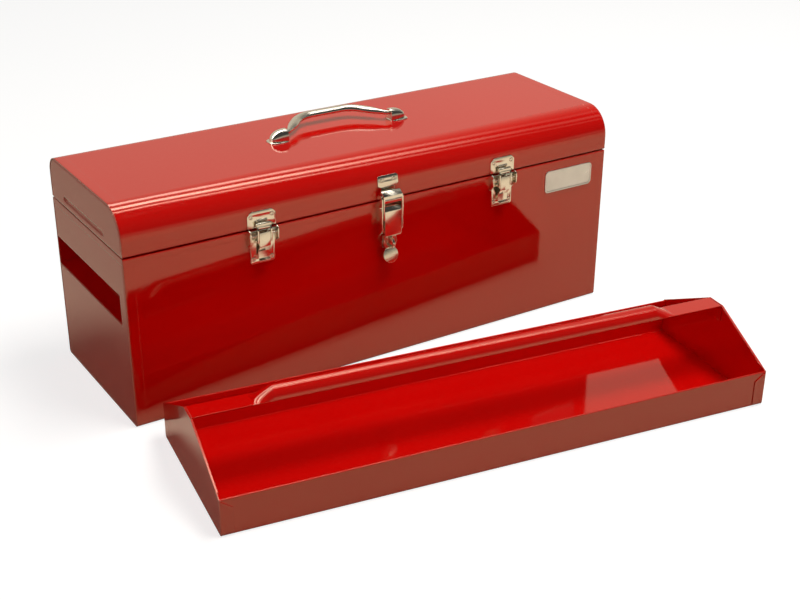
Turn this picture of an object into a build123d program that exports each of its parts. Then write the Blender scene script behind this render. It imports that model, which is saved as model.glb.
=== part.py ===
from build123d import *
import os
from math import asin, cos, degrees, radians, sin, sqrt, tan

os.makedirs("parts", exist_ok=True)

# Steel tool box with a lift-out tray. Millimetres, +Z up, front face towards -Y.
# Origin on the floor under the middle of the box.

# Box shell
BOX_LENGTH = 610.0
BOX_DEPTH = 198.0
BODY_HEIGHT = 190.5
SEAM_GAP = 1.5
LID_HEIGHT = 49.5
SHEET = 1.0
FLOOR_BEND = 3.6
HEM_DEPTH = 7.0
LID_FRONT_RADIUS = 32.0
LID_REAR_RADIUS = 20.0
END_FLANGE = 11.0
END_BEND = 2.4

# Pressed grip recess in each end panel
RECESS_DROP = 45.5
RECESS_HEIGHT = 33.5
RECESS_REACH = 28.0
RECESS_FLOOR_SLOPE = 10.0
RECESS_FRONT_MARGIN = 16.5
RECESS_BEND = 2.0

# Pressed groove in each lid end
GROOVE_FRONT = -51.0
GROOVE_REAR = 62.0
GROOVE_RISE = 10.0
GROOVE_HEIGHT = 6.0
GROOVE_SINK = 1.5

# Continuous hinge along the rear seam
HINGE_LENGTH = 570.0
KNUCKLES = 15
KNUCKLE_RADIUS = 2.6
HINGE_STANDOFF = 3.0
HINGE_PIN_RADIUS = 1.3
RUNNING_FIT = 0.05
SWING_GAP = 0.4
KNUCKLE_GAP = 0.4
LEAF_GAUGE = 1.2
LEAF_HEIGHT = 16.0
PIN_HEAD = 0.8

# Side draw latches: offsets out from the front face, heights from the top edge of the body
LATCH_X = 153.0
PLATE_GAUGE = 1.2
STRIKE_WIDTH = 32.5
STRIKE_BOTTOM = 2.5
STRIKE_TOP = 20.6
STRIKE_CORNER = 4.4
STRIKE_RIVET_X = 12.3
STRIKE_RIVET_Z = 14.9
RIB_RADIUS = 1.4
RIB_Z = 10.1
HOOK_WIDTH = 12.0
HOOK_OUT = 3.4
HOOK_TOP = 7.0
HOOK_SHELF = 2.9
BASE_EAR_SPAN = 33.0
BASE_EAR_BOTTOM = -18.5
BASE_TOP = -0.6
BASE_TAIL_WIDTH = 28.0
BASE_RIVET_X = 10.6
BASE_RIVET_Z = -32.3
BASE_TAIL_BOTTOM = -37.5
EAR_OUT = 7.6
EAR_TOP = 2.1
EAR_LOW = -11.0
LEVER_PIN_OUT = 5.6
LEVER_PIN_Z = -4.5
LEVER_PIN_RADIUS = 1.0
LOOP_PIN_OUT = 3.3
LOOP_PIN_Z = -12.0
LOOP_PIN_RADIUS = 0.9
LEVER_WIDTH = 12.5
LEVER_GAUGE = 1.1
LEVER_TOP = -1.3
LEVER_KNEE = -17.0
LEVER_STEP = -23.0
LEVER_TIP = -32.9
LEVER_FACE_OUT = 8.0
LEVER_LOW_OUT = 4.0
LEVER_LIP_OUT = 6.8
LOOP_LEG_IN = 6.8
LOOP_LEG_WIDTH = 1.5
LOOP_LEG_GAUGE = 1.4
LOOP_EYE = 1.5
LOOP_BAR_IN = 3.75
LOOP_BAR_OUT = 6.6
LOOP_BAR_LOW = 1.9
LOOP_TOP = 8.7

# Centre hasp, measured the same way
HASP_STRIKE_WIDTH = 25.5
HASP_STRIKE_TOP = 28.5
HASP_STRIKE_SHOULDER = 17.6
HASP_NECK_WIDTH = 17.0
HASP_STRIKE_RIVET_X = 7.2
HASP_STRIKE_RIVET_Z = 23.2
HASP_HOOK_SHELF = 8.5
HASP_HOOK_TOP = 11.9
HASP_BASE_WIDTH = 27.0
HASP_RIVET_HIGH = -11.0
HASP_RIVET_LOW = -28.5
HASP_BASE_TOP = -0.6
HASP_BASE_BOTTOM = -38.0
HASP_CHEEK_OUT = 11.0
HASP_CHEEK_TOP = 9.1
HASP_CHEEK_BACK = 1.6
HASP_PIN_OUT = 8.0
HASP_PIN_Z = -6.5
HASP_PIN_RADIUS = 1.5
LINK_PIN_OUT = 4.2
LINK_PIN_Z = -18.0
LINK_PIN_RADIUS = 1.4
LINK_WIDTH = 23.8
LINK_GAUGE = 1.2
LINK_EYE = 2.2
LINK_OUT = 12.2
LINK_IN = 3.9
LINK_LOW = 1.0
LINK_BEVEL_Z = 9.0
LINK_BEVEL_OUT = 6.2
LINK_TOP = 13.1
HASP_LEVER_WIDTH = 21.0
HASP_LEVER_GAUGE = 1.2
HASP_LEVER_TOP = -1.7
HASP_LEVER_TOP_OUT = 7.2
HASP_LEVER_EDGE_Z = -8.5
HASP_LEVER_OUT = 12.4
HASP_LEVER_LOW = -37.5
HASP_LEVER_NECK_OUT = 6.0
HASP_LEVER_NECK_Z = -41.0
HASP_SIDE_DEPTH = 4.5
RING_WIDTH = 15.0
RING_CENTRE_Z = -47.5
RING_SLOT_WIDTH = 6.4
RING_SLOT_HEIGHT = 14.0
TAB_RADIUS = 9.2
TAB_CENTRE_Z = -62.3
TAB_FLARE_OUT = 9.4
STAPLE_ROD = 3.2
STAPLE_PITCH = 9.6
STAPLE_OUT = 15.2
STAPLE_PLATE = 15.0
STAPLE_PLATE_GAUGE = 1.0
STAPLE_RIVET_X = 5.4

# Rivets
RIVET_HEAD = 2.5
RIVET_RISE = 0.9
RIVET_SHANK = 1.4
RIVET_HOLE = RIVET_SHANK + RUNNING_FIT
RIVET_EYE = 1.1

# Carrying handle on the lid
HANDLE_Y = 5.0
HANDLE_AXIS_RISE = 8.8
BRACKET_INNER = 66.5
BRACKET_LENGTH = 22.0
BRACKET_DEPTH = 18.0
BRACKET_CORNER = 6.0
BRACKET_FLANGE = 1.2
BRACKET_RISE = 13.0
BRACKET_CROWN_LENGTH = 18.0
BRACKET_CROWN_DEPTH = 9.6
BRACKET_END_WALL = 3.0
BRACKET_RIVET_Y = 4.6
BRACKET_RIVET_DEPTH = 4.0
PIVOT_RADIUS = 2.5
HANDLE_REST_ANGLE = 6.0
HANDLE_HEIGHT = 32.0
HANDLE_FOOT_X = 64.0
HANDLE_SHOULDER_X = 32.5
HANDLE_FOOT_BEND = 5.0
HANDLE_SHOULDER_BEND = 12.0
HANDLE_SWELL_START = 3.0
HANDLE_SWELL_END = 9.0
GRIP_RADIUS = 3.8

# Lift-out tray, own frame centred on its floor, then set down in front of the box
TRAY_LENGTH = 604.0
TRAY_DEPTH = 191.0
TRAY_WALL = 40.0
TRAY_PEAK = 80.5
TRAY_PEAK_WIDTH = 23.0
TRAY_BEND = 2.5
TRAY_HEM = 6.0
TRAY_CENTRE = (-2.3, -268.4)
TRAY_TURN = -8.43
LAP_WIDTH = 13.0
LAP_CORNER = 38.5
LAP_EDGE = 30.0
LAP_FOOT = TRAY_BEND + SHEET
SLOPE_HEM = 5.0
BAR_GAUGE = 1.2
BAR_FLAT = 62.0
BAR_BLEND = 21.0
BAR_CROWN = 91.0
BAR_HALF_WIDTH = 11.0
BAR_TAB = 17.0

FRONT = -BOX_DEPTH / 2
REAR = BOX_DEPTH / 2
END_X = BOX_LENGTH / 2
LID_BOTTOM = BODY_HEIGHT + SEAM_GAP
LID_TOP = BODY_HEIGHT + LID_HEIGHT
GROOVE_Z = BODY_HEIGHT + GROOVE_RISE
RECESS_TOP = BODY_HEIGHT - RECESS_DROP
RECESS_BOTTOM = RECESS_TOP - RECESS_HEIGHT
HINGE_Y = REAR + HINGE_STANDOFF
HINGE_Z = BODY_HEIGHT + SEAM_GAP / 2
HANDLE_Z = LID_TOP + HANDLE_AXIS_RISE
LOOP_LEG_OUT = LEVER_PIN_OUT + LEVER_PIN_RADIUS + SWING_GAP + LOOP_LEG_GAUGE / 2
LINK_ARM_IN = HASP_PIN_OUT + HASP_PIN_RADIUS + SWING_GAP
SEAM = Pos(0, 0, BODY_HEIGHT)


def outline(points):
    """Closed face from corner points in its own flat plane."""
    return make_face(Polyline(*points, close=True))


def along_x(face, x0, x1):
    """Prism along X of a face drawn in (y, z)."""
    return extrude(Plane.YZ.offset(x0) * face, amount=x1 - x0, dir=(1, 0, 0))


def along_y(face, y0, y1):
    """Prism along Y of a face drawn in (x, z)."""
    return extrude(Plane.XZ.offset(-y0) * face, amount=y1 - y0, dir=(0, 1, 0))


def along_z(face, z0, z1):
    """Prism along Z of a face drawn in (x, y)."""
    return extrude(Plane.XY.offset(z0) * face, amount=z1 - z0, dir=(0, 0, 1))


def block(x0, x1, y0, y1, z0, z1):
    """Plain block between two corners."""
    size = (x1 - x0, y1 - y0, z1 - z0)
    return Pos((x0 + x1) / 2, (y0 + y1) / 2, (z0 + z1) / 2) * Box(*size)


def rod_x(radius, x0, x1, y, z):
    """Round rod along X."""
    return along_x(Pos(y, z) * Circle(radius), x0, x1)


def rod_y(radius, x, y0, y1, z):
    """Round rod along Y."""
    return along_y(Pos(x, z) * Circle(radius), y0, y1)


def rect(u0, u1, v0, v1):
    """Flat rectangle between two corners."""
    return Pos((u0 + u1) / 2, (v0 + v1) / 2) * Rectangle(u1 - u0, v1 - v0)


def round_at(face, corners, radius):
    """Round the corners of a flat face that lie at the given points."""
    picked = [v for v in face.vertices() for c in corners if abs(v.X - c[0]) + abs(v.Y - c[1]) < 0.01]
    return fillet(picked, radius)


def out(offset):
    """Y position of a point standing off the front face."""
    return FRONT - offset


def front_face(points):
    """Face in (y, z) from points given as (offset from the front, z)."""
    return outline([(out(o), z) for o, z in points])


def front_strip(points, gauge, bend):
    """Bent strip in (y, z), its middle line given as (offset, z)."""
    line = FilletPolyline(*[(out(o), z) for o, z in points], radius=bend)
    return trace(line, line_width=gauge)


def both_sides(part):
    """Part with its mirror image across the YZ plane."""
    return part + mirror(part, about=Plane.YZ)


def rivet(x, z, grip, seat=0.0):
    """Tubular rivet through the front, head outside and rolled end inside."""
    head = rod_y(RIVET_HEAD, x, out(seat + RIVET_RISE), out(seat), z)
    head = chamfer(head.edges().sort_by(Axis.Y)[0], RIVET_RISE * 0.5)
    shank = rod_y(RIVET_SHANK, x, out(seat), out(seat) + grip, z)
    tail = rod_y(RIVET_HEAD * 0.9, x, out(seat) + grip, out(seat) + grip + RIVET_RISE, z)
    eye = rod_y(RIVET_EYE, x, out(seat + RIVET_RISE) - 1, out(seat + RIVET_RISE) + 1.2, z)
    return head + shank + tail - eye


def rivet_hole(x, z):
    """Clear hole for a front rivet."""
    return rod_y(RIVET_HOLE, x, FRONT - 6, FRONT + 6, z)


# Box body

def hemmed_channel(depth, height, bend, hem):
    """Section in (y, z) of a U bend whose two top edges are folded inwards."""
    half = depth / 2
    shell = outline([(-half, 0), (half, 0), (half, height), (-half, height)])
    shell = round_at(shell, [(-half, 0), (half, 0)], bend)
    core = outline([(-half + SHEET, SHEET), (half - SHEET, SHEET),
                    (half - SHEET, height + 1), (-half + SHEET, height + 1)])
    core = round_at(core, [(-half + SHEET, SHEET), (half - SHEET, SHEET)], bend - SHEET)
    section = shell - core
    for side in (-1, 1):
        u = sorted((side * half, side * (half - 2 * SHEET)))
        section += rect(u[0], u[1], height - hem, height)
    tips = [(s * half, height) for s in (-1, 1)] + [(s * (half - 2 * SHEET), height) for s in (-1, 1)]
    return round_at(section, tips, SHEET * 0.95)


def body_wrap():
    """Front, floor and rear of the box in one bent sheet."""
    wrap = along_x(hemmed_channel(BOX_DEPTH, BODY_HEIGHT, FLOOR_BEND, HEM_DEPTH), -END_X, END_X)
    for x, z in base_rivet_spots() + hasp_base_rivet_spots() + staple_rivet_spots():
        wrap -= SEAM * rivet_hole(x, z)
    return wrap


def recess_outline(grow):
    """Left grip recess in (x, z), grown by the sheet when it is the shell."""
    rise = tan(radians(RECESS_FLOOR_SLOPE))
    drop = grow / cos(radians(RECESS_FLOOR_SLOPE))
    inner = -END_X + RECESS_REACH + grow
    low = RECESS_BOTTOM - drop
    face = outline([(-END_X, low), (inner, low + rise * (RECESS_REACH + grow)),
                    (inner, RECESS_TOP + grow), (-END_X, RECESS_TOP + grow)])
    corners = [(inner, low + rise * (RECESS_REACH + grow)), (inner, RECESS_TOP + grow)]
    return round_at(face, corners, RECESS_BEND + grow)


def left_end():
    """Left end panel: a shallow pressed pan with the grip recess and its inner ledge."""
    y0, y1 = FRONT + SHEET, REAR - SHEET
    side = rounded_below(y0, y1, SHEET, BODY_HEIGHT, FLOOR_BEND - SHEET)
    pan = along_x(side, -END_X, -END_X + END_FLANGE)
    pan = fillet(face_edges(pan, -END_X), END_BEND)
    side = rounded_below(y0 + SHEET, y1 - SHEET, 2 * SHEET, BODY_HEIGHT + 1, FLOOR_BEND - 2 * SHEET)
    core = along_x(side, -END_X + SHEET, -END_X + END_FLANGE + 1)
    core = fillet(face_edges(core, -END_X + SHEET), END_BEND - SHEET)
    top = BODY_HEIGHT - HEM_DEPTH
    hem = block(-END_X, -END_X + 2 * SHEET, y0 + 2 * SHEET, y1 - 2 * SHEET, top, BODY_HEIGHT)
    panel = pan - core + hem
    # the flanges stop under the folded hems of the wrap
    for y in (y0, y1 - SHEET):
        panel -= block(-END_X + 2 * SHEET, -END_X + END_FLANGE + 1, y, y + SHEET, top - 0.3, BODY_HEIGHT + 1)
    for y in (y0, y1 - SHEET):
        panel -= block(-END_X - 1, -END_X + 2 * SHEET, y, y + SHEET, top - 0.3, BODY_HEIGHT + 1)
    front = FRONT + RECESS_FRONT_MARGIN
    panel += along_y(recess_outline(SHEET), front - SHEET, y1)
    panel -= along_y(recess_outline(0), front, y1)
    rim = [e for e in panel.edges().filter_by(Axis.Y)
           if abs(e.center().X + END_X) < 0.01 and e.length > 100 and abs(e.center().Z - RECESS_TOP) < 0.01]
    return fillet(rim, SHEET * 0.6)


def rounded_below(y0, y1, z0, z1, radius):
    """Rectangle in (y, z) with its two lower corners rounded."""
    return round_at(outline([(y0, z0), (y1, z0), (y1, z1), (y0, z1)]), [(y0, z0), (y1, z0)], radius)


def face_edges(part, x):
    """Edges of the outer face at x, all but the one along its top."""
    top = part.bounding_box().max.Z
    return [e for e in part.edges() if abs(e.center().X - x) < 0.01 and e.center().Z < top - 0.01]


# Lid

def lid_outline(inset, floor):
    """Closed side view of the lid in (y, z), inset by a gauge, down to floor."""
    half = BOX_DEPTH / 2 - inset
    top = LID_TOP - inset
    face = outline([(-half, floor), (half, floor), (half, top), (-half, top)])
    face = round_at(face, [(-half, top)], LID_FRONT_RADIUS - inset)
    return round_at(face, [(half, top)], LID_REAR_RADIUS - inset)


def lid_wrap():
    """Front, crown and rear of the lid in one bent sheet with folded lower edges."""
    section = lid_outline(0, LID_BOTTOM) - lid_outline(SHEET, LID_BOTTOM - 1)
    half = BOX_DEPTH / 2
    for side in (-1, 1):
        u = sorted((side * half, side * (half - 2 * SHEET)))
        section += rect(u[0], u[1], LID_BOTTOM, LID_BOTTOM + HEM_DEPTH)
    tips = [(s * half, LID_BOTTOM) for s in (-1, 1)] + [(s * (half - 2 * SHEET), LID_BOTTOM) for s in (-1, 1)]
    section = round_at(section, tips, SHEET * 0.95)
    wrap = along_x(section, -END_X, END_X)
    for x, z in strike_rivet_spots():
        wrap -= SEAM * rivet_hole(x, z)
    for x, z in hasp_strike_rivet_spots():
        wrap -= SEAM * on_curve(x, z) * rivet_hole(0, 0)
    for x, y in bracket_rivet_spots():
        wrap -= along_z(Pos(x, y) * Circle(RIVET_HOLE), LID_TOP - 5, LID_TOP + 5)
    return wrap


def lid_left_end():
    """Left end of the lid: a pressed cap set into the wrap, with its groove."""
    cap = along_x(lid_outline(SHEET, LID_BOTTOM), -END_X, -END_X + END_FLANGE)
    cap = fillet(face_edges_above(cap, -END_X, LID_BOTTOM), END_BEND)
    core = along_x(lid_outline(2 * SHEET, LID_BOTTOM - 1), -END_X + SHEET, -END_X + END_FLANGE + 1)
    cap -= core
    low = LID_BOTTOM + HEM_DEPTH + 0.3
    for side in (-1, 1):
        y = sorted((side * (BOX_DEPTH / 2 - SHEET), side * (BOX_DEPTH / 2 - 2 * SHEET)))
        cap -= block(-END_X - 1, -END_X + END_FLANGE + 1, y[0], y[1], LID_BOTTOM - 1, low)
    half = BOX_DEPTH / 2 - 2 * SHEET
    cap += block(-END_X, -END_X + 2 * SHEET, -half, half, LID_BOTTOM, LID_BOTTOM + HEM_DEPTH - SHEET)
    length = GROOVE_REAR - GROOVE_FRONT
    middle = (GROOVE_FRONT + GROOVE_REAR) / 2
    slot = Pos(middle, GROOVE_Z) * SlotOverall(length, GROOVE_HEIGHT)
    boss = Pos(middle, GROOVE_Z) * SlotOverall(length - 2, GROOVE_HEIGHT - 2)
    cap += along_x(boss, -END_X, -END_X + GROOVE_SINK + SHEET)
    sink = loft([Plane.YZ.offset(-END_X) * slot, Plane.YZ.offset(-END_X + GROOVE_SINK) *
                 (Pos(middle, GROOVE_Z) * SlotOverall(length - 3.4, GROOVE_HEIGHT - 3.4))])
    return cap - sink


def on_curve(x, z):
    """Place on the lid's front curve, above the seam, for a piece drawn on the front face at zero."""
    rise = z - LID_HEIGHT + LID_FRONT_RADIUS
    lean = degrees(asin(rise / LID_FRONT_RADIUS))
    drop = LID_FRONT_RADIUS - sqrt(LID_FRONT_RADIUS ** 2 - rise ** 2)
    return Pos(x, FRONT + drop, z) * Rot(-lean, 0, 0) * Pos(0, -FRONT, 0)


def face_edges_above(part, x, z):
    """Edges of the outer face at x, all but the one along its bottom."""
    return [e for e in part.edges() if abs(e.center().X - x) < 0.01 and e.center().Z > z + 0.01]


# Hinge

def knuckle_span(index):
    """Start and end along X of one hinge knuckle."""
    pitch = HINGE_LENGTH / KNUCKLES
    start = -HINGE_LENGTH / 2 + index * pitch
    return start + KNUCKLE_GAP / 2, start + pitch - KNUCKLE_GAP / 2


def hinge_leaf(first, direction):
    """Leaf with every second knuckle; direction is -1 for the body, +1 for the lid."""
    edge = KNUCKLE_RADIUS + KNUCKLE_GAP
    z = sorted((HINGE_Z + direction * edge, HINGE_Z + direction * (edge + LEAF_HEIGHT)))
    leaf = block(-HINGE_LENGTH / 2, HINGE_LENGTH / 2, REAR, REAR + LEAF_GAUGE, z[0], z[1])
    for index in range(first, KNUCKLES, 2):
        x0, x1 = knuckle_span(index)
        neck = sorted((HINGE_Z + direction * 0.5, HINGE_Z + direction * (edge + 0.1)))
        leaf += block(x0, x1, REAR, REAR + LEAF_GAUGE, neck[0], neck[1])
        leaf += rod_x(KNUCKLE_RADIUS, x0, x1, HINGE_Y, HINGE_Z)
        leaf -= rod_x(HINGE_PIN_RADIUS + RUNNING_FIT, x0 - 1, x1 + 1, HINGE_Y, HINGE_Z)
    return leaf


def hinge_pin():
    """Hinge wire with a pressed head at each end."""
    end = HINGE_LENGTH / 2 - KNUCKLE_GAP / 2
    pin = rod_x(HINGE_PIN_RADIUS, -end, end, HINGE_Y, HINGE_Z)
    head = rod_x(KNUCKLE_RADIUS * 0.85, end, end + PIN_HEAD, HINGE_Y, HINGE_Z)
    return pin + both_sides(head)


# Side draw latches, drawn about x = 0 with the top edge of the body at z = 0

def strike_rivet_offsets():
    """Rivets of one strike plate about its middle."""
    return [(-STRIKE_RIVET_X, STRIKE_RIVET_Z), (STRIKE_RIVET_X, STRIKE_RIVET_Z)]


def strike_rivet_spots():
    """Rivets of both strike plates."""
    return [(s * LATCH_X + x, z) for s in (-1, 1) for x, z in strike_rivet_offsets()]


def base_rivet_offsets():
    """Rivets of one latch base about its middle, hidden by the lever."""
    return [(-BASE_RIVET_X, BASE_RIVET_Z), (BASE_RIVET_X, BASE_RIVET_Z)]


def base_rivet_spots():
    """Rivets of both latch bases."""
    return [(s * LATCH_X + x, z) for s in (-1, 1) for x, z in base_rivet_offsets()]


def lid_skin(half):
    """Plate gauge laid on the outside of the lid from -half to half, seen from the seam."""
    ring = lid_outline(-PLATE_GAUGE, BODY_HEIGHT) - lid_outline(0, BODY_HEIGHT - 1)
    return Pos(0, 0, -BODY_HEIGHT) * along_x(ring, -half, half)


def strike():
    """Strike plate with the turned-up hook that the loop draws on."""
    half = STRIKE_WIDTH / 2
    cut = STRIKE_CORNER
    plan = outline([(-half, STRIKE_BOTTOM), (half, STRIKE_BOTTOM), (half, STRIKE_TOP - cut),
                    (half - cut, STRIKE_TOP), (-half + cut, STRIKE_TOP), (-half, STRIKE_TOP - cut)])
    plate = lid_skin(half) & along_y(plan, FRONT - 5, FRONT + 8)
    hook = front_face([(0.6, HOOK_SHELF), (HOOK_OUT, HOOK_SHELF), (HOOK_OUT, HOOK_TOP),
                       (HOOK_OUT - 1.2, HOOK_TOP), (HOOK_OUT - 1.2, HOOK_SHELF + 1.2), (0.6, HOOK_SHELF + 1.2)])
    hook = round_at(hook, [(out(HOOK_OUT), HOOK_SHELF)], 1.1)
    hook = round_at(hook, [(out(HOOK_OUT), HOOK_TOP), (out(HOOK_OUT - 1.2), HOOK_TOP)], 0.5)
    plate += along_x(hook, -HOOK_WIDTH / 2, HOOK_WIDTH / 2)
    rib = along_x(Pos(out(PLATE_GAUGE - 0.4), RIB_Z) * Circle(RIB_RADIUS), -HOOK_WIDTH / 2, HOOK_WIDTH / 2)
    plate += rib & block(-half, half, FRONT - 5, FRONT, STRIKE_BOTTOM, STRIKE_TOP)
    for x, z in strike_rivet_offsets():
        plate -= rivet_hole(x, z)
    return plate


def latch_base():
    """Base plate with two ears for the lever pin and a rim round its tail."""
    half, tail = BASE_EAR_SPAN / 2, BASE_TAIL_WIDTH / 2
    plan = outline([(-tail, BASE_TAIL_BOTTOM), (tail, BASE_TAIL_BOTTOM), (tail, BASE_EAR_BOTTOM),
                    (half, BASE_EAR_BOTTOM + 2), (half, BASE_TOP), (-half, BASE_TOP),
                    (-half, BASE_EAR_BOTTOM + 2), (-tail, BASE_EAR_BOTTOM)])
    plan = round_at(plan, [(-tail, BASE_TAIL_BOTTOM), (tail, BASE_TAIL_BOTTOM)], 2.0)
    base = along_y(plan, out(PLATE_GAUGE), FRONT)
    ear = front_face([(0.4, BASE_EAR_BOTTOM + 2), (EAR_OUT - 4, BASE_EAR_BOTTOM + 3), (EAR_OUT, EAR_LOW),
                      (EAR_OUT, EAR_TOP - 2), (EAR_OUT - 3, EAR_TOP), (2.2, EAR_TOP), (2.2, BASE_TOP),
                      (0.4, BASE_TOP)])
    ear = round_at(ear, [(out(EAR_OUT), EAR_LOW), (out(EAR_OUT), EAR_TOP - 2)], 2.2)
    cheek = along_x(ear, -half, -half + PLATE_GAUGE)
    base += both_sides(cheek)
    base -= rod_x(LEVER_PIN_RADIUS + RUNNING_FIT, -half - 1, half + 1, out(LEVER_PIN_OUT), LEVER_PIN_Z)
    for x, z in base_rivet_offsets():
        base -= rivet_hole(x, z)
    return base


def latch_pin():
    """Lever pin across the two ears, headed outside."""
    half = BASE_EAR_SPAN / 2
    pin = rod_x(LEVER_PIN_RADIUS, -half, half, out(LEVER_PIN_OUT), LEVER_PIN_Z)
    head = rod_x(LEVER_PIN_RADIUS + 0.9, half, half + 0.7, out(LEVER_PIN_OUT), LEVER_PIN_Z)
    return pin + both_sides(head)


def latch_lever():
    """Stepped lever with two cheeks and a finger lip rolled outwards."""
    mid = LEVER_GAUGE / 2
    face, low = LEVER_FACE_OUT - mid, LEVER_LOW_OUT - mid
    strip = front_strip([(face, LEVER_TOP), (face, LEVER_KNEE), (low, LEVER_STEP), (low, LEVER_TIP + 1.2),
                         (LEVER_LIP_OUT, LEVER_TIP)], LEVER_GAUGE, 1.0)
    half = LEVER_WIDTH / 2
    lever = along_x(strip, -half, half)
    side = front_face([(LEVER_PIN_OUT - 3.2, LEVER_PIN_Z), (LEVER_PIN_OUT - 2.2, LEVER_TOP - 1.2),
                       (LEVER_PIN_OUT, LEVER_TOP), (face, LEVER_TOP), (face, LEVER_KNEE),
                       (LOOP_PIN_OUT + 1.2, LOOP_PIN_Z - 2.6), (LOOP_PIN_OUT - 1.6, LOOP_PIN_Z - 0.8)])
    lever += both_sides(along_x(side, -half, -half + LEVER_GAUGE))
    lever -= rod_x(LEVER_PIN_RADIUS + RUNNING_FIT, -half - 1, half + 1, out(LEVER_PIN_OUT), LEVER_PIN_Z)
    return lever - rod_x(LOOP_PIN_RADIUS + RUNNING_FIT, -half - 1, half + 1, out(LOOP_PIN_OUT), LOOP_PIN_Z)


def draw_loop():
    """Loop whose two legs rise in front of the lever pin; stub pins turn inwards into the lever."""
    outer = LOOP_LEG_IN + LOOP_LEG_WIDTH
    bar_middle = (LOOP_BAR_IN + LOOP_BAR_OUT) / 2
    leg = front_strip([(LOOP_PIN_OUT, LOOP_PIN_Z), (LOOP_LEG_OUT, LOOP_PIN_Z), (LOOP_LEG_OUT, LOOP_BAR_LOW - 0.5),
                       (bar_middle, LOOP_BAR_LOW + 3.6)], LOOP_LEG_GAUGE, 1.0)
    leg += Pos(out(LOOP_PIN_OUT), LOOP_PIN_Z) * Circle(LOOP_EYE)
    loop = both_sides(along_x(leg, -outer, -LOOP_LEG_IN))
    bar = rect(out(LOOP_BAR_OUT), out(LOOP_BAR_IN), LOOP_BAR_LOW, LOOP_TOP)
    bar = round_at(bar, [(out(LOOP_BAR_OUT), LOOP_BAR_LOW), (out(LOOP_BAR_OUT), LOOP_TOP)], 1.3)
    bar = round_at(bar, [(out(LOOP_BAR_IN), LOOP_BAR_LOW), (out(LOOP_BAR_IN), LOOP_TOP)], 0.5)
    loop += along_x(bar, -outer, outer)
    stub = rod_x(LOOP_PIN_RADIUS, -LOOP_LEG_IN - 0.5, -LEVER_WIDTH / 2 + LEVER_GAUGE - 0.3,
                 out(LOOP_PIN_OUT), LOOP_PIN_Z)
    return loop + both_sides(stub)


# Centre hasp

def hasp_strike_rivet_spots():
    """Rivets of the hasp strike plate."""
    return [(s * HASP_STRIKE_RIVET_X, HASP_STRIKE_RIVET_Z) for s in (-1, 1)]


def hasp_base_rivet_spots():
    """Rivets through the back of the hasp channel."""
    return [(0.0, HASP_RIVET_HIGH), (0.0, HASP_RIVET_LOW)]


def staple_rivet_spots():
    """Rivets of the staple plate."""
    return [(-STAPLE_RIVET_X, RING_CENTRE_Z), (STAPLE_RIVET_X, RING_CENTRE_Z)]


def hasp_strike():
    """Waisted strike plate that follows the curve of the lid, with its hook."""
    half, neck = HASP_STRIKE_WIDTH / 2, HASP_NECK_WIDTH / 2
    low = HASP_HOOK_SHELF
    plan = outline([(-neck, low), (neck, low), (neck, HASP_STRIKE_SHOULDER - 2.4), (half, HASP_STRIKE_SHOULDER),
                    (half, HASP_STRIKE_TOP), (-half, HASP_STRIKE_TOP), (-half, HASP_STRIKE_SHOULDER),
                    (-neck, HASP_STRIKE_SHOULDER - 2.4)])
    plan = round_at(plan, [(-half, HASP_STRIKE_TOP), (half, HASP_STRIKE_TOP)], 2.4)
    plate = lid_skin(half) & along_y(plan, FRONT - 5, FRONT + 12)
    hook = front_face([(0.6, low), (HOOK_OUT, low), (HOOK_OUT, HASP_HOOK_TOP), (HOOK_OUT - 1.2, HASP_HOOK_TOP),
                       (HOOK_OUT - 1.2, low + 1.2), (0.6, low + 1.2)])
    hook = round_at(hook, [(out(HOOK_OUT), low)], 1.1)
    plate += along_x(hook, -neck, neck)
    for x, z in hasp_strike_rivet_spots():
        plate -= on_curve(x, z) * rivet_hole(0, 0)
    return plate


def hasp_base():
    """Deep channel on the body whose two cheeks carry the lever pin."""
    half = HASP_BASE_WIDTH / 2
    low, top = HASP_BASE_BOTTOM, HASP_CHEEK_TOP
    base = block(-half, half, out(PLATE_GAUGE), FRONT, low, HASP_BASE_TOP)
    cheek = front_face([(0.4, low), (HASP_CHEEK_OUT - 6, low), (HASP_CHEEK_OUT, low + 7), (HASP_CHEEK_OUT, top - 3),
                        (HASP_CHEEK_OUT - 3, top), (HASP_CHEEK_BACK, top), (HASP_CHEEK_BACK, HASP_BASE_TOP),
                        (0.4, HASP_BASE_TOP)])
    cheek = round_at(cheek, [(out(HASP_CHEEK_OUT - 6), low), (out(HASP_CHEEK_OUT), low + 7)], 4.0)
    base += both_sides(along_x(cheek, -half, -half + PLATE_GAUGE))
    base -= rod_x(HASP_PIN_RADIUS + RUNNING_FIT, -half - 1, half + 1, out(HASP_PIN_OUT), HASP_PIN_Z)
    for x, z in hasp_base_rivet_spots():
        base -= rivet_hole(x, z)
    return base


def hasp_pin():
    """Lever pin of the hasp, headed outside the cheeks."""
    half = HASP_BASE_WIDTH / 2
    pin = rod_x(HASP_PIN_RADIUS, -half, half, out(HASP_PIN_OUT), HASP_PIN_Z)
    head = rod_x(HASP_PIN_RADIUS + 1.0, half, half + 0.8, out(HASP_PIN_OUT), HASP_PIN_Z)
    return pin + both_sides(head)


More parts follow.
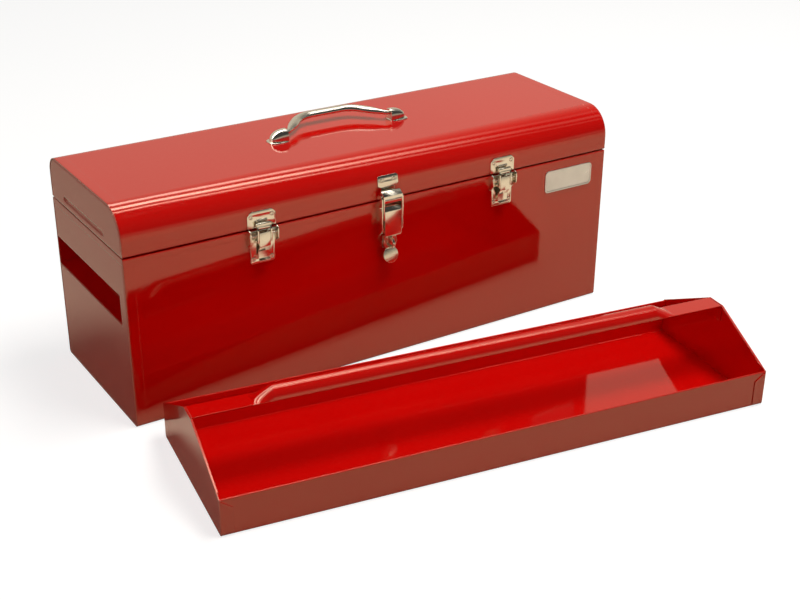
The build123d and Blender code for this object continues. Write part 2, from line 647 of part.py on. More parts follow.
def hasp_link():
    """Hooded link: bevelled hood, two arms that pass in front of the lever pin, stub pins turned inwards."""
    half = LINK_WIDTH / 2
    g = LINK_GAUGE
    hood = front_face([(LINK_IN, LINK_LOW), (LINK_OUT, LINK_LOW), (LINK_OUT, LINK_BEVEL_Z),
                       (LINK_BEVEL_OUT, LINK_TOP), (LINK_IN, LINK_TOP)])
    link = along_x(hood, -half, half)
    hollow = front_face([(LINK_IN - 1, LINK_LOW - 1), (LINK_OUT - g, LINK_LOW - 1), (LINK_OUT - g, LINK_BEVEL_Z - 0.6),
                         (LINK_BEVEL_OUT, LINK_TOP - 2.4), (LINK_IN - 1, LINK_TOP - 2.4)])
    link -= along_x(hollow, -half + g, half - g)
    bulge = Pos(out(LINK_OUT - 0.3), LINK_LOW + 3.6) * Circle(1.0)
    link += along_x(bulge, -half + g, half - g)
    arm = front_face([(LINK_PIN_OUT, LINK_PIN_Z - LINK_EYE), (LINK_OUT - 2, LINK_PIN_Z - LINK_EYE),
                      (LINK_OUT, LINK_PIN_Z), (LINK_OUT, LINK_LOW + 1), (LINK_ARM_IN, LINK_LOW + 1),
                      (LINK_ARM_IN, LINK_PIN_Z + 2 * LINK_EYE), (LINK_ARM_IN - 2, LINK_PIN_Z + LINK_EYE),
                      (LINK_PIN_OUT, LINK_PIN_Z + LINK_EYE)])
    arm += Pos(out(LINK_PIN_OUT), LINK_PIN_Z) * Circle(LINK_EYE)
    link += both_sides(along_x(arm, -half, -half + g))
    stub = rod_x(LINK_PIN_RADIUS, -half + 0.2, -HASP_LEVER_WIDTH / 2 + HASP_LEVER_GAUGE - 0.1,
                 out(LINK_PIN_OUT), LINK_PIN_Z)
    return link + both_sides(stub)


def hasp_lever():
    """Channel lever with a bevelled head, a slotted ring over the staple and a round tab."""
    g = HASP_LEVER_GAUGE
    mid = g / 2
    face, neck = HASP_LEVER_OUT - mid, HASP_LEVER_NECK_OUT - mid
    half = HASP_LEVER_WIDTH / 2
    tab_low = TAB_CENTRE_Z - TAB_RADIUS
    line = [(HASP_LEVER_TOP_OUT, HASP_LEVER_TOP - mid), (face, HASP_LEVER_EDGE_Z), (face, HASP_LEVER_LOW),
            (neck, HASP_LEVER_NECK_Z), (neck, TAB_CENTRE_Z + 7.0), (TAB_FLARE_OUT - mid, tab_low)]
    strip = front_strip(line, g, 1.5)
    wide = along_x(strip, -half, half)
    plan = rect(-half, half, HASP_LEVER_LOW + 1.5, HASP_LEVER_TOP + 1)
    plan += rect(-RING_WIDTH / 2, RING_WIDTH / 2, RING_CENTRE_Z, HASP_LEVER_LOW + 2)
    shoulder = [(-half, HASP_LEVER_LOW + 1.6), (half, HASP_LEVER_LOW + 1.6),
                (RING_WIDTH / 2, HASP_LEVER_LOW - 2.6), (-RING_WIDTH / 2, HASP_LEVER_LOW - 2.6)]
    plan += outline(shoulder)
    plan += Pos(0, RING_CENTRE_Z) * Circle(RING_WIDTH / 2 + 1.0)
    plan += rect(-4.5, 4.5, TAB_CENTRE_Z, RING_CENTRE_Z)
    plan += Pos(0, TAB_CENTRE_Z) * Circle(TAB_RADIUS)
    plan -= Pos(0, RING_CENTRE_Z) * Rot(0, 0, 90) * SlotOverall(RING_SLOT_HEIGHT, RING_SLOT_WIDTH)
    lever = wide & along_y(plan, FRONT - 20, FRONT)
    deep = face - HASP_SIDE_DEPTH
    side = front_face([(face, HASP_LEVER_LOW + 1.6), (face, HASP_LEVER_EDGE_Z),
                       (HASP_LEVER_TOP_OUT, HASP_LEVER_TOP - mid), (HASP_PIN_OUT - 4.6, HASP_PIN_Z + 2.6),
                       (HASP_PIN_OUT - 6.0, HASP_PIN_Z - 1), (LINK_PIN_OUT - 2.2, LINK_PIN_Z - 1.4),
                       (LINK_PIN_OUT, LINK_PIN_Z - 3.2), (deep, LINK_PIN_Z - 6), (deep, HASP_LEVER_LOW + 4)])
    lever += both_sides(along_x(side, -half, -half + g))
    lever -= rod_x(HASP_PIN_RADIUS + RUNNING_FIT, -half - 1, half + 1, out(HASP_PIN_OUT), HASP_PIN_Z)
    return lever - rod_x(LINK_PIN_RADIUS + RUNNING_FIT, -half - 1, half + 1, out(LINK_PIN_OUT), LINK_PIN_Z)


def padlock_staple():
    """Staple eye on the body: a bent rod on a small riveted plate."""
    plate = along_y(Pos(0, RING_CENTRE_Z) * Rectangle(STAPLE_PLATE, STAPLE_PLATE - 1), out(STAPLE_PLATE_GAUGE), FRONT)
    half = STAPLE_PITCH / 2
    reach = STAPLE_OUT - STAPLE_ROD / 2 - half
    path = Polyline((0, out(0.2), RING_CENTRE_Z - half), (0, out(reach), RING_CENTRE_Z - half))
    path += ThreePointArc((0, out(reach), RING_CENTRE_Z - half), (0, out(reach + half), RING_CENTRE_Z),
                          (0, out(reach), RING_CENTRE_Z + half))
    path += Line((0, out(reach), RING_CENTRE_Z + half), (0, out(0.2), RING_CENTRE_Z + half))
    section = Plane(origin=(0, out(0.2), RING_CENTRE_Z - half), z_dir=(0, -1, 0)) * Circle(STAPLE_ROD / 2)
    eye = sweep(section, path=path)
    staple = plate + eye
    for x, z in staple_rivet_spots():
        staple -= rivet_hole(x, z)
    return staple


# Handle

def bracket_middle(side):
    """Middle of one bracket along X."""
    return side * (BRACKET_INNER + BRACKET_LENGTH / 2)


def bracket_rivet_spots():
    """Rivets of both handle brackets in (x, y), set from under the lid."""
    return [(bracket_middle(s), HANDLE_Y + t * BRACKET_RIVET_Y) for s in (-1, 1) for t in (-1, 1)]


def handle_bracket(side):
    """Pressed cap over one end of the handle: a rounded foot under a tapered crown."""
    x = bracket_middle(side)
    low = LID_TOP + BRACKET_FLANGE
    foot = RectangleRounded(BRACKET_LENGTH, BRACKET_DEPTH, BRACKET_CORNER)
    bracket = along_z(Pos(x, HANDLE_Y) * foot, LID_TOP, low)
    inset = 2 * BRACKET_FLANGE
    base = RectangleRounded(BRACKET_LENGTH - inset, BRACKET_DEPTH - inset, BRACKET_CORNER - BRACKET_FLANGE)
    crown = RectangleRounded(BRACKET_CROWN_LENGTH, BRACKET_CROWN_DEPTH, BRACKET_CROWN_DEPTH * 0.42)
    crown_x = x - side * (BRACKET_LENGTH - inset - BRACKET_CROWN_LENGTH) / 2
    cap = loft([Plane.XY.offset(low) * Pos(x, HANDLE_Y) * base,
                Plane.XY.offset(LID_TOP + BRACKET_RISE) * Pos(crown_x, HANDLE_Y) * crown])
    bracket += fillet(cap.edges().group_by(Axis.Z)[-1], 1.5)
    outer = x + side * (BRACKET_LENGTH / 2 - BRACKET_END_WALL)
    x0, x1 = sorted((x - side * (BRACKET_LENGTH / 2 + 1), outer))
    bracket -= rod_x(PIVOT_RADIUS + RUNNING_FIT, x0, x1, HANDLE_Y, HANDLE_Z)
    for rx, ry in bracket_rivet_spots():
        if rx * side > 0:
            hole = Pos(rx, ry) * Circle(RIVET_HOLE)
            bracket -= along_z(hole, LID_TOP - 1, LID_TOP + BRACKET_RIVET_DEPTH + RUNNING_FIT)
    return bracket


def bracket_rivets():
    """Rivets of the handle brackets, driven up from under the lid into the solid of the caps."""
    group = []
    under = LID_TOP - SHEET
    for x, y in bracket_rivet_spots():
        head = along_z(Pos(x, y) * Circle(RIVET_HEAD), under - RIVET_RISE, under)
        head = chamfer(head.edges().sort_by(Axis.Z)[0], RIVET_RISE * 0.5)
        group.append(head + along_z(Pos(x, y) * Circle(RIVET_SHANK), under, LID_TOP + BRACKET_RIVET_DEPTH))
    return Compound(children=group)


def leg_point(side, distance):
    """Point of a leg's middle line at a distance from the foot, the bail standing upright."""
    run = HANDLE_FOOT_X - HANDLE_SHOULDER_X
    length = sqrt(run ** 2 + HANDLE_HEIGHT ** 2)
    return side * (HANDLE_FOOT_X - run * distance / length), HANDLE_HEIGHT * distance / length


def handle():
    """Bail handle of bent rod: slim pivot ends that swell into legs and a straight grip."""
    end_x = BRACKET_INNER + BRACKET_LENGTH - BRACKET_END_WALL - 0.4
    bail = Part()
    for side in (-1, 1):
        points = [(side * end_x, 0), (side * HANDLE_FOOT_X, 0), leg_point(side, HANDLE_SWELL_START)]
        line = Plane.XZ * FilletPolyline(*points, radius=HANDLE_FOOT_BEND)
        section = Plane(origin=(side * end_x, 0, 0), z_dir=(-side, 0, 0)) * Circle(PIVOT_RADIUS)
        bail += sweep(section, path=line)
        x0, z0 = leg_point(side, HANDLE_SWELL_START)
        x1, z1 = leg_point(side, HANDLE_SWELL_END)
        leg = (x1 - x0, 0, z1 - z0)
        bail += loft([Plane(origin=(x0, 0, z0), z_dir=leg) * Circle(PIVOT_RADIUS),
                      Plane(origin=(x1, 0, z1), z_dir=leg) * Circle(GRIP_RADIUS)])
    points = [leg_point(-1, HANDLE_SWELL_END), (-HANDLE_SHOULDER_X, HANDLE_HEIGHT),
              (HANDLE_SHOULDER_X, HANDLE_HEIGHT), leg_point(1, HANDLE_SWELL_END)]
    line = Plane.XZ * FilletPolyline(*points, radius=HANDLE_SHOULDER_BEND)
    bail += sweep(Plane(origin=line @ 0, z_dir=line % 0) * Circle(GRIP_RADIUS), path=line)
    return Pos(0, HANDLE_Y, HANDLE_Z) * Rot(HANDLE_REST_ANGLE - 90, 0, 0) * bail


# Tray, in its own frame

def tray_pan():
    """Front wall, floor and rear wall of the tray in one bent sheet."""
    depth = TRAY_DEPTH - 2 * SHEET
    half = TRAY_LENGTH / 2 - SHEET
    return along_x(hemmed_channel(depth, TRAY_WALL, TRAY_BEND, TRAY_HEM), -half, half)


def slope_height(y):
    """Height of the end panel's top edge at a depth."""
    run = TRAY_DEPTH / 2 - TRAY_PEAK_WIDTH / 2
    return TRAY_WALL + (TRAY_PEAK - TRAY_WALL) * (TRAY_DEPTH / 2 - abs(y)) / run


def tray_left_end():
    """Left end panel: peaked plate, hemmed slopes and laps folded over the walls."""
    x0 = -TRAY_LENGTH / 2
    half, peak = TRAY_DEPTH / 2, TRAY_PEAK_WIDTH / 2
    face = outline([(-half, 0), (half, 0), (half, TRAY_WALL), (peak, TRAY_PEAK), (-peak, TRAY_PEAK),
                    (-half, TRAY_WALL)])
    panel = along_x(round_at(face, [(-half, 0), (half, 0)], LAP_FOOT), x0, x0 + SHEET)
    lap = outline([(x0, LAP_FOOT), (x0 + LAP_WIDTH, LAP_FOOT), (x0 + LAP_WIDTH, LAP_EDGE), (x0 + SHEET, LAP_CORNER),
                   (x0, LAP_CORNER)])
    panel += along_y(lap, -half, -half + SHEET)
    panel += along_y(lap, half - SHEET, half)
    corners = [e for e in panel.edges().filter_by(Axis.Z)
               if abs(e.center().X - x0) < 0.01 and abs(abs(e.center().Y) - half) < 0.01]
    panel = fillet(corners, SHEET * 0.8)
    for side in (-1, 1):
        far, near = side * (half - 8.0), side * (peak + 0.8)
        hem = outline([(far, slope_height(far)), (near, slope_height(near)),
                       (near, slope_height(near) - SLOPE_HEM), (far, slope_height(far) - SLOPE_HEM)])
        panel += along_x(hem, x0 + SHEET, x0 + 2 * SHEET)
    return panel


def bar_hull(x, half, side, top):
    """Filled bar section at x: a dome from the side height to the top, over straight sides."""
    low = TRAY_PEAK - 3 * BAR_GAUGE
    steps = 8
    dome = []
    for i in range(steps + 1):
        angle = radians(-90 + 180 * i / steps)
        dome.append((half * sin(angle), side + (top - side) * cos(angle)))
    edges = Spline(*dome) + Polyline(dome[-1], (half, low), (-half, low), dome[0])
    return Plane.YZ.offset(x) * make_face(edges)


def tray_bar():
    """Carry bar from end to end: flat feet, welded tabs and a grip rolled over the middle."""
    end = TRAY_LENGTH / 2 - SHEET
    flat_end = end - BAR_FLAT
    arch_end = flat_end - BAR_BLEND
    mid = BAR_GAUGE / 2
    under = TRAY_PEAK - BAR_GAUGE
    half = TRAY_PEAK_WIDTH / 2
    line = FilletPolyline((-end + mid, under - BAR_TAB), (-end + mid, TRAY_PEAK - mid),
                          (-flat_end, TRAY_PEAK - mid), radius=1.2)
    foot = along_y(trace(line, line_width=BAR_GAUGE), -half, half)
    arch = bar_hull(-arch_end, BAR_HALF_WIDTH, under, BAR_CROWN)
    hollow = bar_hull(-arch_end, BAR_HALF_WIDTH - BAR_GAUGE, under, BAR_CROWN - BAR_GAUGE)
    blend = loft([bar_hull(-flat_end, half, TRAY_PEAK, TRAY_PEAK), arch])
    blend -= loft([bar_hull(-flat_end, half, under, under), hollow])
    grip = extrude(arch, amount=2 * arch_end, dir=(1, 0, 0)) - extrude(hollow, amount=2 * arch_end, dir=(1, 0, 0))
    above = block(-end, end, -half - 1, half + 1, under, BAR_CROWN + 1)
    return both_sides(foot + (blend & above)) + (grip & above)


def set_down(part):
    """Tray piece moved from the tray's frame to its place on the floor."""
    return Pos(TRAY_CENTRE[0], TRAY_CENTRE[1], 0) * Rot(0, 0, TRAY_TURN) * part


# Output

def front_rivets(spots, grip, seat):
    """Group of front rivets at the given spots."""
    return Compound(children=[SEAM * rivet(x, z, grip, seat) for x, z in spots])


def strike_rivets():
    """Rivets of the three strike plates; the hasp pair follows the curve of the lid."""
    group = [SEAM * rivet(x, z, PLATE_GAUGE + SHEET, PLATE_GAUGE) for x, z in strike_rivet_spots()]
    sag = RIVET_HEAD ** 2 / (2 * (LID_FRONT_RADIUS - SHEET))
    for x, z in hasp_strike_rivet_spots():
        group.append(SEAM * on_curve(x, z) * rivet(0, 0, PLATE_GAUGE + SHEET + sag, PLATE_GAUGE))
    return Compound(children=group)


def write(name, part):
    """Write one sub-part."""
    export_step(part, os.path.join("parts", name + ".step"))


write("body_wrap", body_wrap())
end_panel = left_end()
write("end_left", end_panel)
write("end_right", mirror(end_panel, about=Plane.YZ))
write("hinge_body_leaf", hinge_leaf(0, -1))
write("hinge_lid_leaf", hinge_leaf(1, 1))
write("hinge_pin", hinge_pin())
write("lid_wrap", lid_wrap())
lid_end = lid_left_end()
write("lid_end_left", lid_end)
write("lid_end_right", mirror(lid_end, about=Plane.YZ))

for word, x in (("left", -LATCH_X), ("right", LATCH_X)):
    place = SEAM * Pos(x, 0, 0)
    write("strike_" + word, place * strike())
    write("latch_base_" + word, place * latch_base())
    write("latch_pin_" + word, place * latch_pin())
    write("latch_lever_" + word, place * latch_lever())
    write("draw_loop_" + word, place * draw_loop())

write("hasp_strike", SEAM * hasp_strike())
write("hasp_base", SEAM * hasp_base())
write("hasp_pin", SEAM * hasp_pin())
write("hasp_link", SEAM * hasp_link())
write("hasp_lever", SEAM * hasp_lever())
write("padlock_staple", SEAM * padlock_staple())
write("strike_rivets", strike_rivets())
write("base_rivets", front_rivets(base_rivet_spots() + hasp_base_rivet_spots(), PLATE_GAUGE + SHEET, PLATE_GAUGE))
write("staple_rivets", front_rivets(staple_rivet_spots(), STAPLE_PLATE_GAUGE + SHEET, STAPLE_PLATE_GAUGE))

for word, side in (("left", -1), ("right", 1)):
    write("handle_bracket_" + word, handle_bracket(side))
write("bracket_rivets", bracket_rivets())
write("handle", handle())

write("tray_pan", set_down(tray_pan()))
tray_end = tray_left_end()
write("tray_end_left", set_down(tray_end))
write("tray_end_right", set_down(mirror(tray_end, about=Plane.YZ)))
write("tray_bar", set_down(tray_bar()))
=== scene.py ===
"""Looks of a red sheet steel tool box and its lift-out tray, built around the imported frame."""
import logging
import math
from dataclasses import dataclass
from enum import Enum

import bmesh
import bpy
from mathutils import Matrix, Vector


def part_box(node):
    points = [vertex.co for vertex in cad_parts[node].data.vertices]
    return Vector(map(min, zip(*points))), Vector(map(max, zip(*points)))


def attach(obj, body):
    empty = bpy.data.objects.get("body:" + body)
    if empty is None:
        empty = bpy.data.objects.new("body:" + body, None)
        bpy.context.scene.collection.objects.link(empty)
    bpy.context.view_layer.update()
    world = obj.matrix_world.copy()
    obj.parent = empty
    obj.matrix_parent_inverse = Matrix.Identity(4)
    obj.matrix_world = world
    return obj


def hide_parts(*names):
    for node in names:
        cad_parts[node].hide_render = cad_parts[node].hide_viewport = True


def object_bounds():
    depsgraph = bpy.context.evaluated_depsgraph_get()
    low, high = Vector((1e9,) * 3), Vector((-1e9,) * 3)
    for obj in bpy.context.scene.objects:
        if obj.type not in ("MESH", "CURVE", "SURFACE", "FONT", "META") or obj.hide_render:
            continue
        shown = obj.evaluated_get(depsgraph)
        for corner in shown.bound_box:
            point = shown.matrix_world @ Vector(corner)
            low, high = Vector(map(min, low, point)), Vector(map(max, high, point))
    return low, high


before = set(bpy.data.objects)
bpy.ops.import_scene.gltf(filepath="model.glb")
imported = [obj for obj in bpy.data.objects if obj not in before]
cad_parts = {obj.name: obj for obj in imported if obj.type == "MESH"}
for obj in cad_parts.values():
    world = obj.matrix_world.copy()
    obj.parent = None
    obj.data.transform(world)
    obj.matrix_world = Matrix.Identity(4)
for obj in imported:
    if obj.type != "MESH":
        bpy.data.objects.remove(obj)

log = logging.getLogger("tool_box")
MM = 0.001
CAD_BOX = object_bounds()
MERGE_DISTANCE = 0.002 * MM
SHADING_SAMPLES = 4

Point = tuple[float, float, float]
Colour = tuple[float, float, float, float]
Stop = tuple[float, Point]
Seat = tuple[Vector, Vector]
Material = bpy.types.Material
Mesh = bpy.types.Mesh
Node = bpy.types.Node
Piece = bpy.types.Object
Socket = bpy.types.NodeSocket
Tree = bpy.types.NodeTree

PALE: Point = (0.60, 0.55, 0.46)
HALF_PALE: Point = (0.25, 0.23, 0.20)
DIM: Point = (0.05, 0.05, 0.05)
BLACK: Point = (0.0, 0.0, 0.0)


class Body(Enum):
    """Moving bodies of the frame that pieces ride on."""

    BOX = "box"
    LID = "lid"
    BAIL = "bail"
    LEVER_LEFT = "lever_left"
    LEVER_RIGHT = "lever_right"
    LOOP_LEFT = "loop_left"
    LOOP_RIGHT = "loop_right"
    HASP_CATCH = "hasp_catch"
    HASP_HOOD = "hasp_hood"
    TRAY = "tray"


class Slot(Enum):
    """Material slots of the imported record."""

    PAINT = "red_paint"
    PLATED = "plated_steel"


class NodeSheet:
    """Short way to place and link nodes in one node tree."""

    COLUMN_STEP = 220
    ROW_STEP = 240

    def __init__(self, tree: Tree) -> None:
        """Start on an empty tree.

        Args:
            tree: The tree that receives the nodes.
        """
        self.tree = tree
        tree.nodes.clear()

    def add(self, kind: str, column: int, row: int, feeds: dict[str | int, object] | None = None,
            **settings: object) -> Node:
        """Add one node.

        Args:
            kind: Node type name.
            column: Place from the left, in node widths.
            row: Place from the top, in node heights.
            feeds: A number, colour or output socket for each input by name or index.
            **settings: Attributes set on the node.

        Returns:
            The new node.
        """
        node = self.tree.nodes.new(kind)
        node.location = (column * self.COLUMN_STEP, -row * self.ROW_STEP)
        for name, value in settings.items():
            setattr(node, name, value)
        self.feed(node, feeds or {})
        return node

    def feed(self, node: Node, feeds: dict[str | int, object]) -> None:
        """Set or link inputs of a node.

        Args:
            node: The node.
            feeds: A number, colour or output socket for each input by name or index.
        """
        for title, value in feeds.items():
            if isinstance(value, Socket):
                self.link(value, node.inputs[title])
            else:
                node.inputs[title].default_value = value

    def link(self, source: Socket, target: Socket) -> None:
        """Join an output to an input."""
        self.tree.links.new(source, target)

    def math(self, operation: str, column: int, row: int, *values: object) -> Socket:
        """Add a math node fed by numbers or sockets.

        Args:
            operation: Name of the operation.
            column: Place from the left.
            row: Place from the top.
            *values: A number or an output socket for each input.

        Returns:
            The result socket.
        """
        feeds = dict(enumerate(values))
        return self.add("ShaderNodeMath", column, row, feeds, operation=operation).outputs[0]

    def noise(self, column: int, row: int, detail: float, place: Socket, scale: Socket) -> Socket:
        """Add a noise texture.

        Args:
            column: Place from the left.
            row: Place from the top.
            detail: Octaves of the noise.
            place: Where on the surface it is read.
            scale: How fine it is.

        Returns:
            The noise's value.
        """
        feeds = {"Detail": detail, "Vector": place, "Scale": scale}
        return self.add("ShaderNodeTexNoise", column, row, feeds).outputs["Fac"]


def new_group(name: str, inputs: dict[str, float],
              outputs: dict[str, str]) -> tuple[NodeSheet, Node, Node]:
    """Make a shader node group with named sockets.

    Args:
        name: Name of the group.
        inputs: Float inputs with their default values.
        outputs: Output names with their socket types.

    Returns:
        The group's sheet, its input node and its output node.
    """
    tree = bpy.data.node_groups.new(name, "ShaderNodeTree")
    for title, value in inputs.items():
        socket = tree.interface.new_socket(name=title, in_out="INPUT",
                                           socket_type="NodeSocketFloat")
        socket.default_value = value
    for title, kind in outputs.items():
        tree.interface.new_socket(name=title, in_out="OUTPUT", socket_type=kind)
    sheet = NodeSheet(tree)
    return sheet, sheet.add("NodeGroupInput", 0, 0), sheet.add("NodeGroupOutput", 9, 0)


class SharedEffects:
    """Shader groups that more than one finish uses, each built once."""

    PEEL_DETAIL = 1.5
    WAVE_DETAIL = 0.0
    PATCH_DETAIL = 4.0
    PATCH_CONTRAST = 3.0
    PATCH_OFFSET = -1.2
    SPECK_DETAIL = 5.0
    SPECK_POWER = 4.0
    LINE_DETAIL = 3.0
    LINE_STRETCH = (1.0, 1.0, 0.12)
    CLOUD_DETAIL = 2.0

    def __init__(self) -> None:
        """Build every shared group."""
        self.orange_peel = self.build_orange_peel()
        self.edge_wear_and_highlight = self.build_edge_wear_and_highlight()
        self.settled_dust = self.build_settled_dust()
        self.plating_grain = self.build_plating_grain()

    def build_orange_peel(self) -> Tree:
        """Sprayed enamel: a fine peel over the slow waves of thin sheet.

        Returns:
            The group, with outputs Height and Tone.
        """
        sheet, source, result = new_group(
            "orange_peel",
            {"Peel Scale": 420.0, "Peel Share": 0.05, "Wave Scale": 9.0, "Wave Share": 0.8},
            {"Height": "NodeSocketFloat", "Tone": "NodeSocketFloat"})
        place = sheet.add("ShaderNodeTexCoord", 0, 2).outputs["Object"]
        peel = sheet.noise(2, 0, self.PEEL_DETAIL, place, source.outputs["Peel Scale"])
        wave = sheet.noise(2, 1, self.WAVE_DETAIL, place, source.outputs["Wave Scale"])
        fine = sheet.math("MULTIPLY", 4, 0, peel, source.outputs["Peel Share"])
        share = sheet.math("MULTIPLY", 4, 1, wave, source.outputs["Wave Share"])
        sheet.feed(result, {"Height": sheet.math("ADD", 6, 0, share, fine), "Tone": wave})
        return sheet.tree

    def build_edge_wear_and_highlight(self) -> Tree:
        """Mask of the outer edges, for the wear that hands and benches rub and for the painted
        highlight that rounded edges catch.

        Returns:
            The group, with output Mask.
        """
        sheet, source, result = new_group(
            "edge_wear_and_highlight", {"Reach": 0.001, "Break Up": 60.0, "Amount": 1.0},
            {"Mask": "NodeSocketFloat"})
        # Edge mask: partly rubbed wear, partly a painted highlight along rounded edges.
        rounded = sheet.add("ShaderNodeBevel", 1, 0, {"Radius": source.outputs["Reach"]},
                            samples=SHADING_SAMPLES)
        surface = sheet.add("ShaderNodeNewGeometry", 1, 1)
        feeds = {0: rounded.outputs["Normal"], 1: surface.outputs["Normal"]}
        dot = sheet.add("ShaderNodeVectorMath", 3, 0, feeds, operation="DOT_PRODUCT")
        bend = sheet.math("SUBTRACT", 4, 0, 1.0, dot.outputs["Value"])
        place = sheet.add("ShaderNodeTexCoord", 1, 2).outputs["Object"]
        noise = sheet.noise(3, 2, self.PATCH_DETAIL, place, source.outputs["Break Up"])
        patchy = sheet.math("MULTIPLY_ADD", 5, 1, noise, self.PATCH_CONTRAST, self.PATCH_OFFSET)
        rub_and_highlight = sheet.math("MULTIPLY", 5, 0, bend, patchy)
        mask = sheet.math("MULTIPLY", 6, 0, rub_and_highlight, source.outputs["Amount"])
        mask.node.use_clamp = True
        sheet.feed(result, {"Mask": mask})
        return sheet.tree

    def build_settled_dust(self) -> Tree:
        """Thin dust on faces that look up.

        Returns:
            The group, with output Mask.
        """
        sheet, source, result = new_group(
            "settled_dust", {"Amount": 0.1, "Speck Scale": 240.0}, {"Mask": "NodeSocketFloat"})
        place = sheet.add("ShaderNodeTexCoord", 0, 1)
        split = sheet.add("ShaderNodeSeparateXYZ", 2, 0, {0: place.outputs["Normal"]})
        upward = sheet.math("MAXIMUM", 3, 0, split.outputs["Z"], 0.0)
        noise = sheet.noise(2, 1, self.SPECK_DETAIL, place.outputs["Object"],
                            source.outputs["Speck Scale"])
        speck = sheet.math("POWER", 4, 1, noise, self.SPECK_POWER)
        both = sheet.math("MULTIPLY", 5, 0, upward, speck)
        mask = sheet.math("MULTIPLY", 6, 0, both, source.outputs["Amount"])
        sheet.feed(result, {"Mask": mask})
        return sheet.tree

    def build_plating_grain(self) -> Tree:
        """Nickel over stamped steel: faint cloudiness and drawing lines.

        Returns:
            The group, with outputs Height and Cloud.
        """
        sheet, source, result = new_group(
            "plating_grain", {"Line Scale": 900.0, "Cloud Scale": 70.0},
            {"Height": "NodeSocketFloat", "Cloud": "NodeSocketFloat"})
        place = sheet.add("ShaderNodeTexCoord", 0, 1).outputs["Object"]
        drawn = sheet.add("ShaderNodeMapping", 1, 1,
                          {"Scale": self.LINE_STRETCH, "Vector": place}).outputs["Vector"]
        lines = sheet.noise(3, 0, self.LINE_DETAIL, drawn, source.outputs["Line Scale"])
        cloud = sheet.noise(3, 1, self.CLOUD_DETAIL, place, source.outputs["Cloud Scale"])
        sheet.feed(result, {"Height": lines, "Cloud": cloud})
        return sheet.tree


def new_material(name: str) -> tuple[Material, NodeSheet, Node]:
    """Make a material with a Principled BSDF joined to its output.

    Args:
        name: Name of the material.

    Returns:
        The material, its sheet and its Principled BSDF.
    """
    material = bpy.data.materials.new(name)
    material.use_nodes = True
    sheet = NodeSheet(material.node_tree)
    shader = sheet.add("ShaderNodeBsdfPrincipled", 9, 0)
    sheet.add("ShaderNodeOutputMaterial", 11, 0, {"Surface": shader.outputs["BSDF"]})
    return material, sheet, shader


def mix_colour(sheet: NodeSheet, column: int, row: int, factor: object, first: object,
               second: object) -> Socket:
    """Mix two colours.

    Args:
        sheet: The sheet that gets the node.
        column: Place from the left.
        row: Place from the top.
        factor: Share of the second colour, a number or a socket.
        first: Colour or socket.
        second: Colour or socket.

    Returns:
        The mixed colour's socket.
    """
    feeds = {0: factor, 6: first, 7: second}
    return sheet.add("ShaderNodeMix", column, row, feeds, data_type="RGBA").outputs[2]


def rolled_normal(sheet: NodeSheet, height: Socket, radius: float, strength: float,
                  distance: float) -> Socket:
    """Bump a surface whose edges are rounded in the shading.

    Args:
        sheet: The material's sheet.
        height: Height of the bumps.
        radius: Radius of the rounded edges.
        strength: Share of the bump.
        distance: How high the bumps stand.

    Returns:
        The normal.
    """
    rounded = sheet.add("ShaderNodeBevel", 5, 3, {"Radius": radius}, samples=SHADING_SAMPLES)
    feeds = {"Strength": strength, "Distance": distance, "Height": height,
             "Normal": rounded.outputs["Normal"]}
    return sheet.add("ShaderNodeBump", 7, 2, feeds).outputs["Normal"]


@dataclass(frozen=True)
class Enamel:
    """Glossy sprayed enamel on sheet steel."""

    name: str = "red_enamel"
    colour: Colour = (0.66, 0.0016, 0.0008, 1.0)
    deep: Colour = (0.60, 0.0010, 0.0005, 1.0)
    # Lighter pink on edges: besides wear it paints the highlight that rounded edges catch.
    worn_and_highlit: Colour = (0.78, 0.10, 0.06, 1.0)
    dust: Colour = (0.66, 0.30, 0.24, 1.0)
    gloss_index: float = 1.85
    gloss_tint: Colour = (1.0, 0.80, 0.60, 1.0)
    edge_radius: float = 0.9 * MM
    wave_scale: float = 7.0
    wave_share: float = 0.9
    wear_and_highlight: float = 0.7
    dustiness: float = 0.05
    roughness: float = 0.055
    dust_roughness: float = 1.6
    wear_roughness: float = 0.15
    bump: float = 0.35
    bump_height: float = 0.6 * MM

    def build(self, effects: SharedEffects) -> Material:
        """Build the material.

        Args:
            effects: The shared groups.

        Returns:
            The material.
        """
        material, sheet, shader = new_material(self.name)
        peel = sheet.add("ShaderNodeGroup", 0, 0, node_tree=effects.orange_peel, feeds={
            "Wave Scale": self.wave_scale, "Wave Share": self.wave_share})
        wear_and_highlight = sheet.add("ShaderNodeGroup", 0, 1, node_tree=effects.edge_wear_and_highlight, feeds={
            "Reach": self.edge_radius, "Amount": self.wear_and_highlight})
        dust = sheet.add("ShaderNodeGroup", 0, 2, node_tree=effects.settled_dust, feeds={
            "Amount": self.dustiness})
        rubbed_and_highlit, dusted = wear_and_highlight.outputs["Mask"], dust.outputs["Mask"]
        paint = mix_colour(sheet, 2, 0, peel.outputs["Tone"], self.colour, self.deep)
        # Edges painted lighter pink: partly wear, partly painted highlight.
        paint = mix_colour(sheet, 3, 0, rubbed_and_highlit, paint, self.worn_and_highlit)
        paint = mix_colour(sheet, 4, 0, dusted, paint, self.dust)
        rough = sheet.math("MULTIPLY_ADD", 4, 2, dusted, self.dust_roughness, self.roughness)
        rough = sheet.math("MULTIPLY_ADD", 5, 2, rubbed_and_highlit, self.wear_roughness, rough)
        normal = rolled_normal(sheet, peel.outputs["Height"], self.edge_radius, self.bump,
                               self.bump_height)
        sheet.feed(shader, {"Base Color": paint, "Roughness": rough, "Normal": normal,
                            "IOR": self.gloss_index, "Specular Tint": self.gloss_tint})
        return material


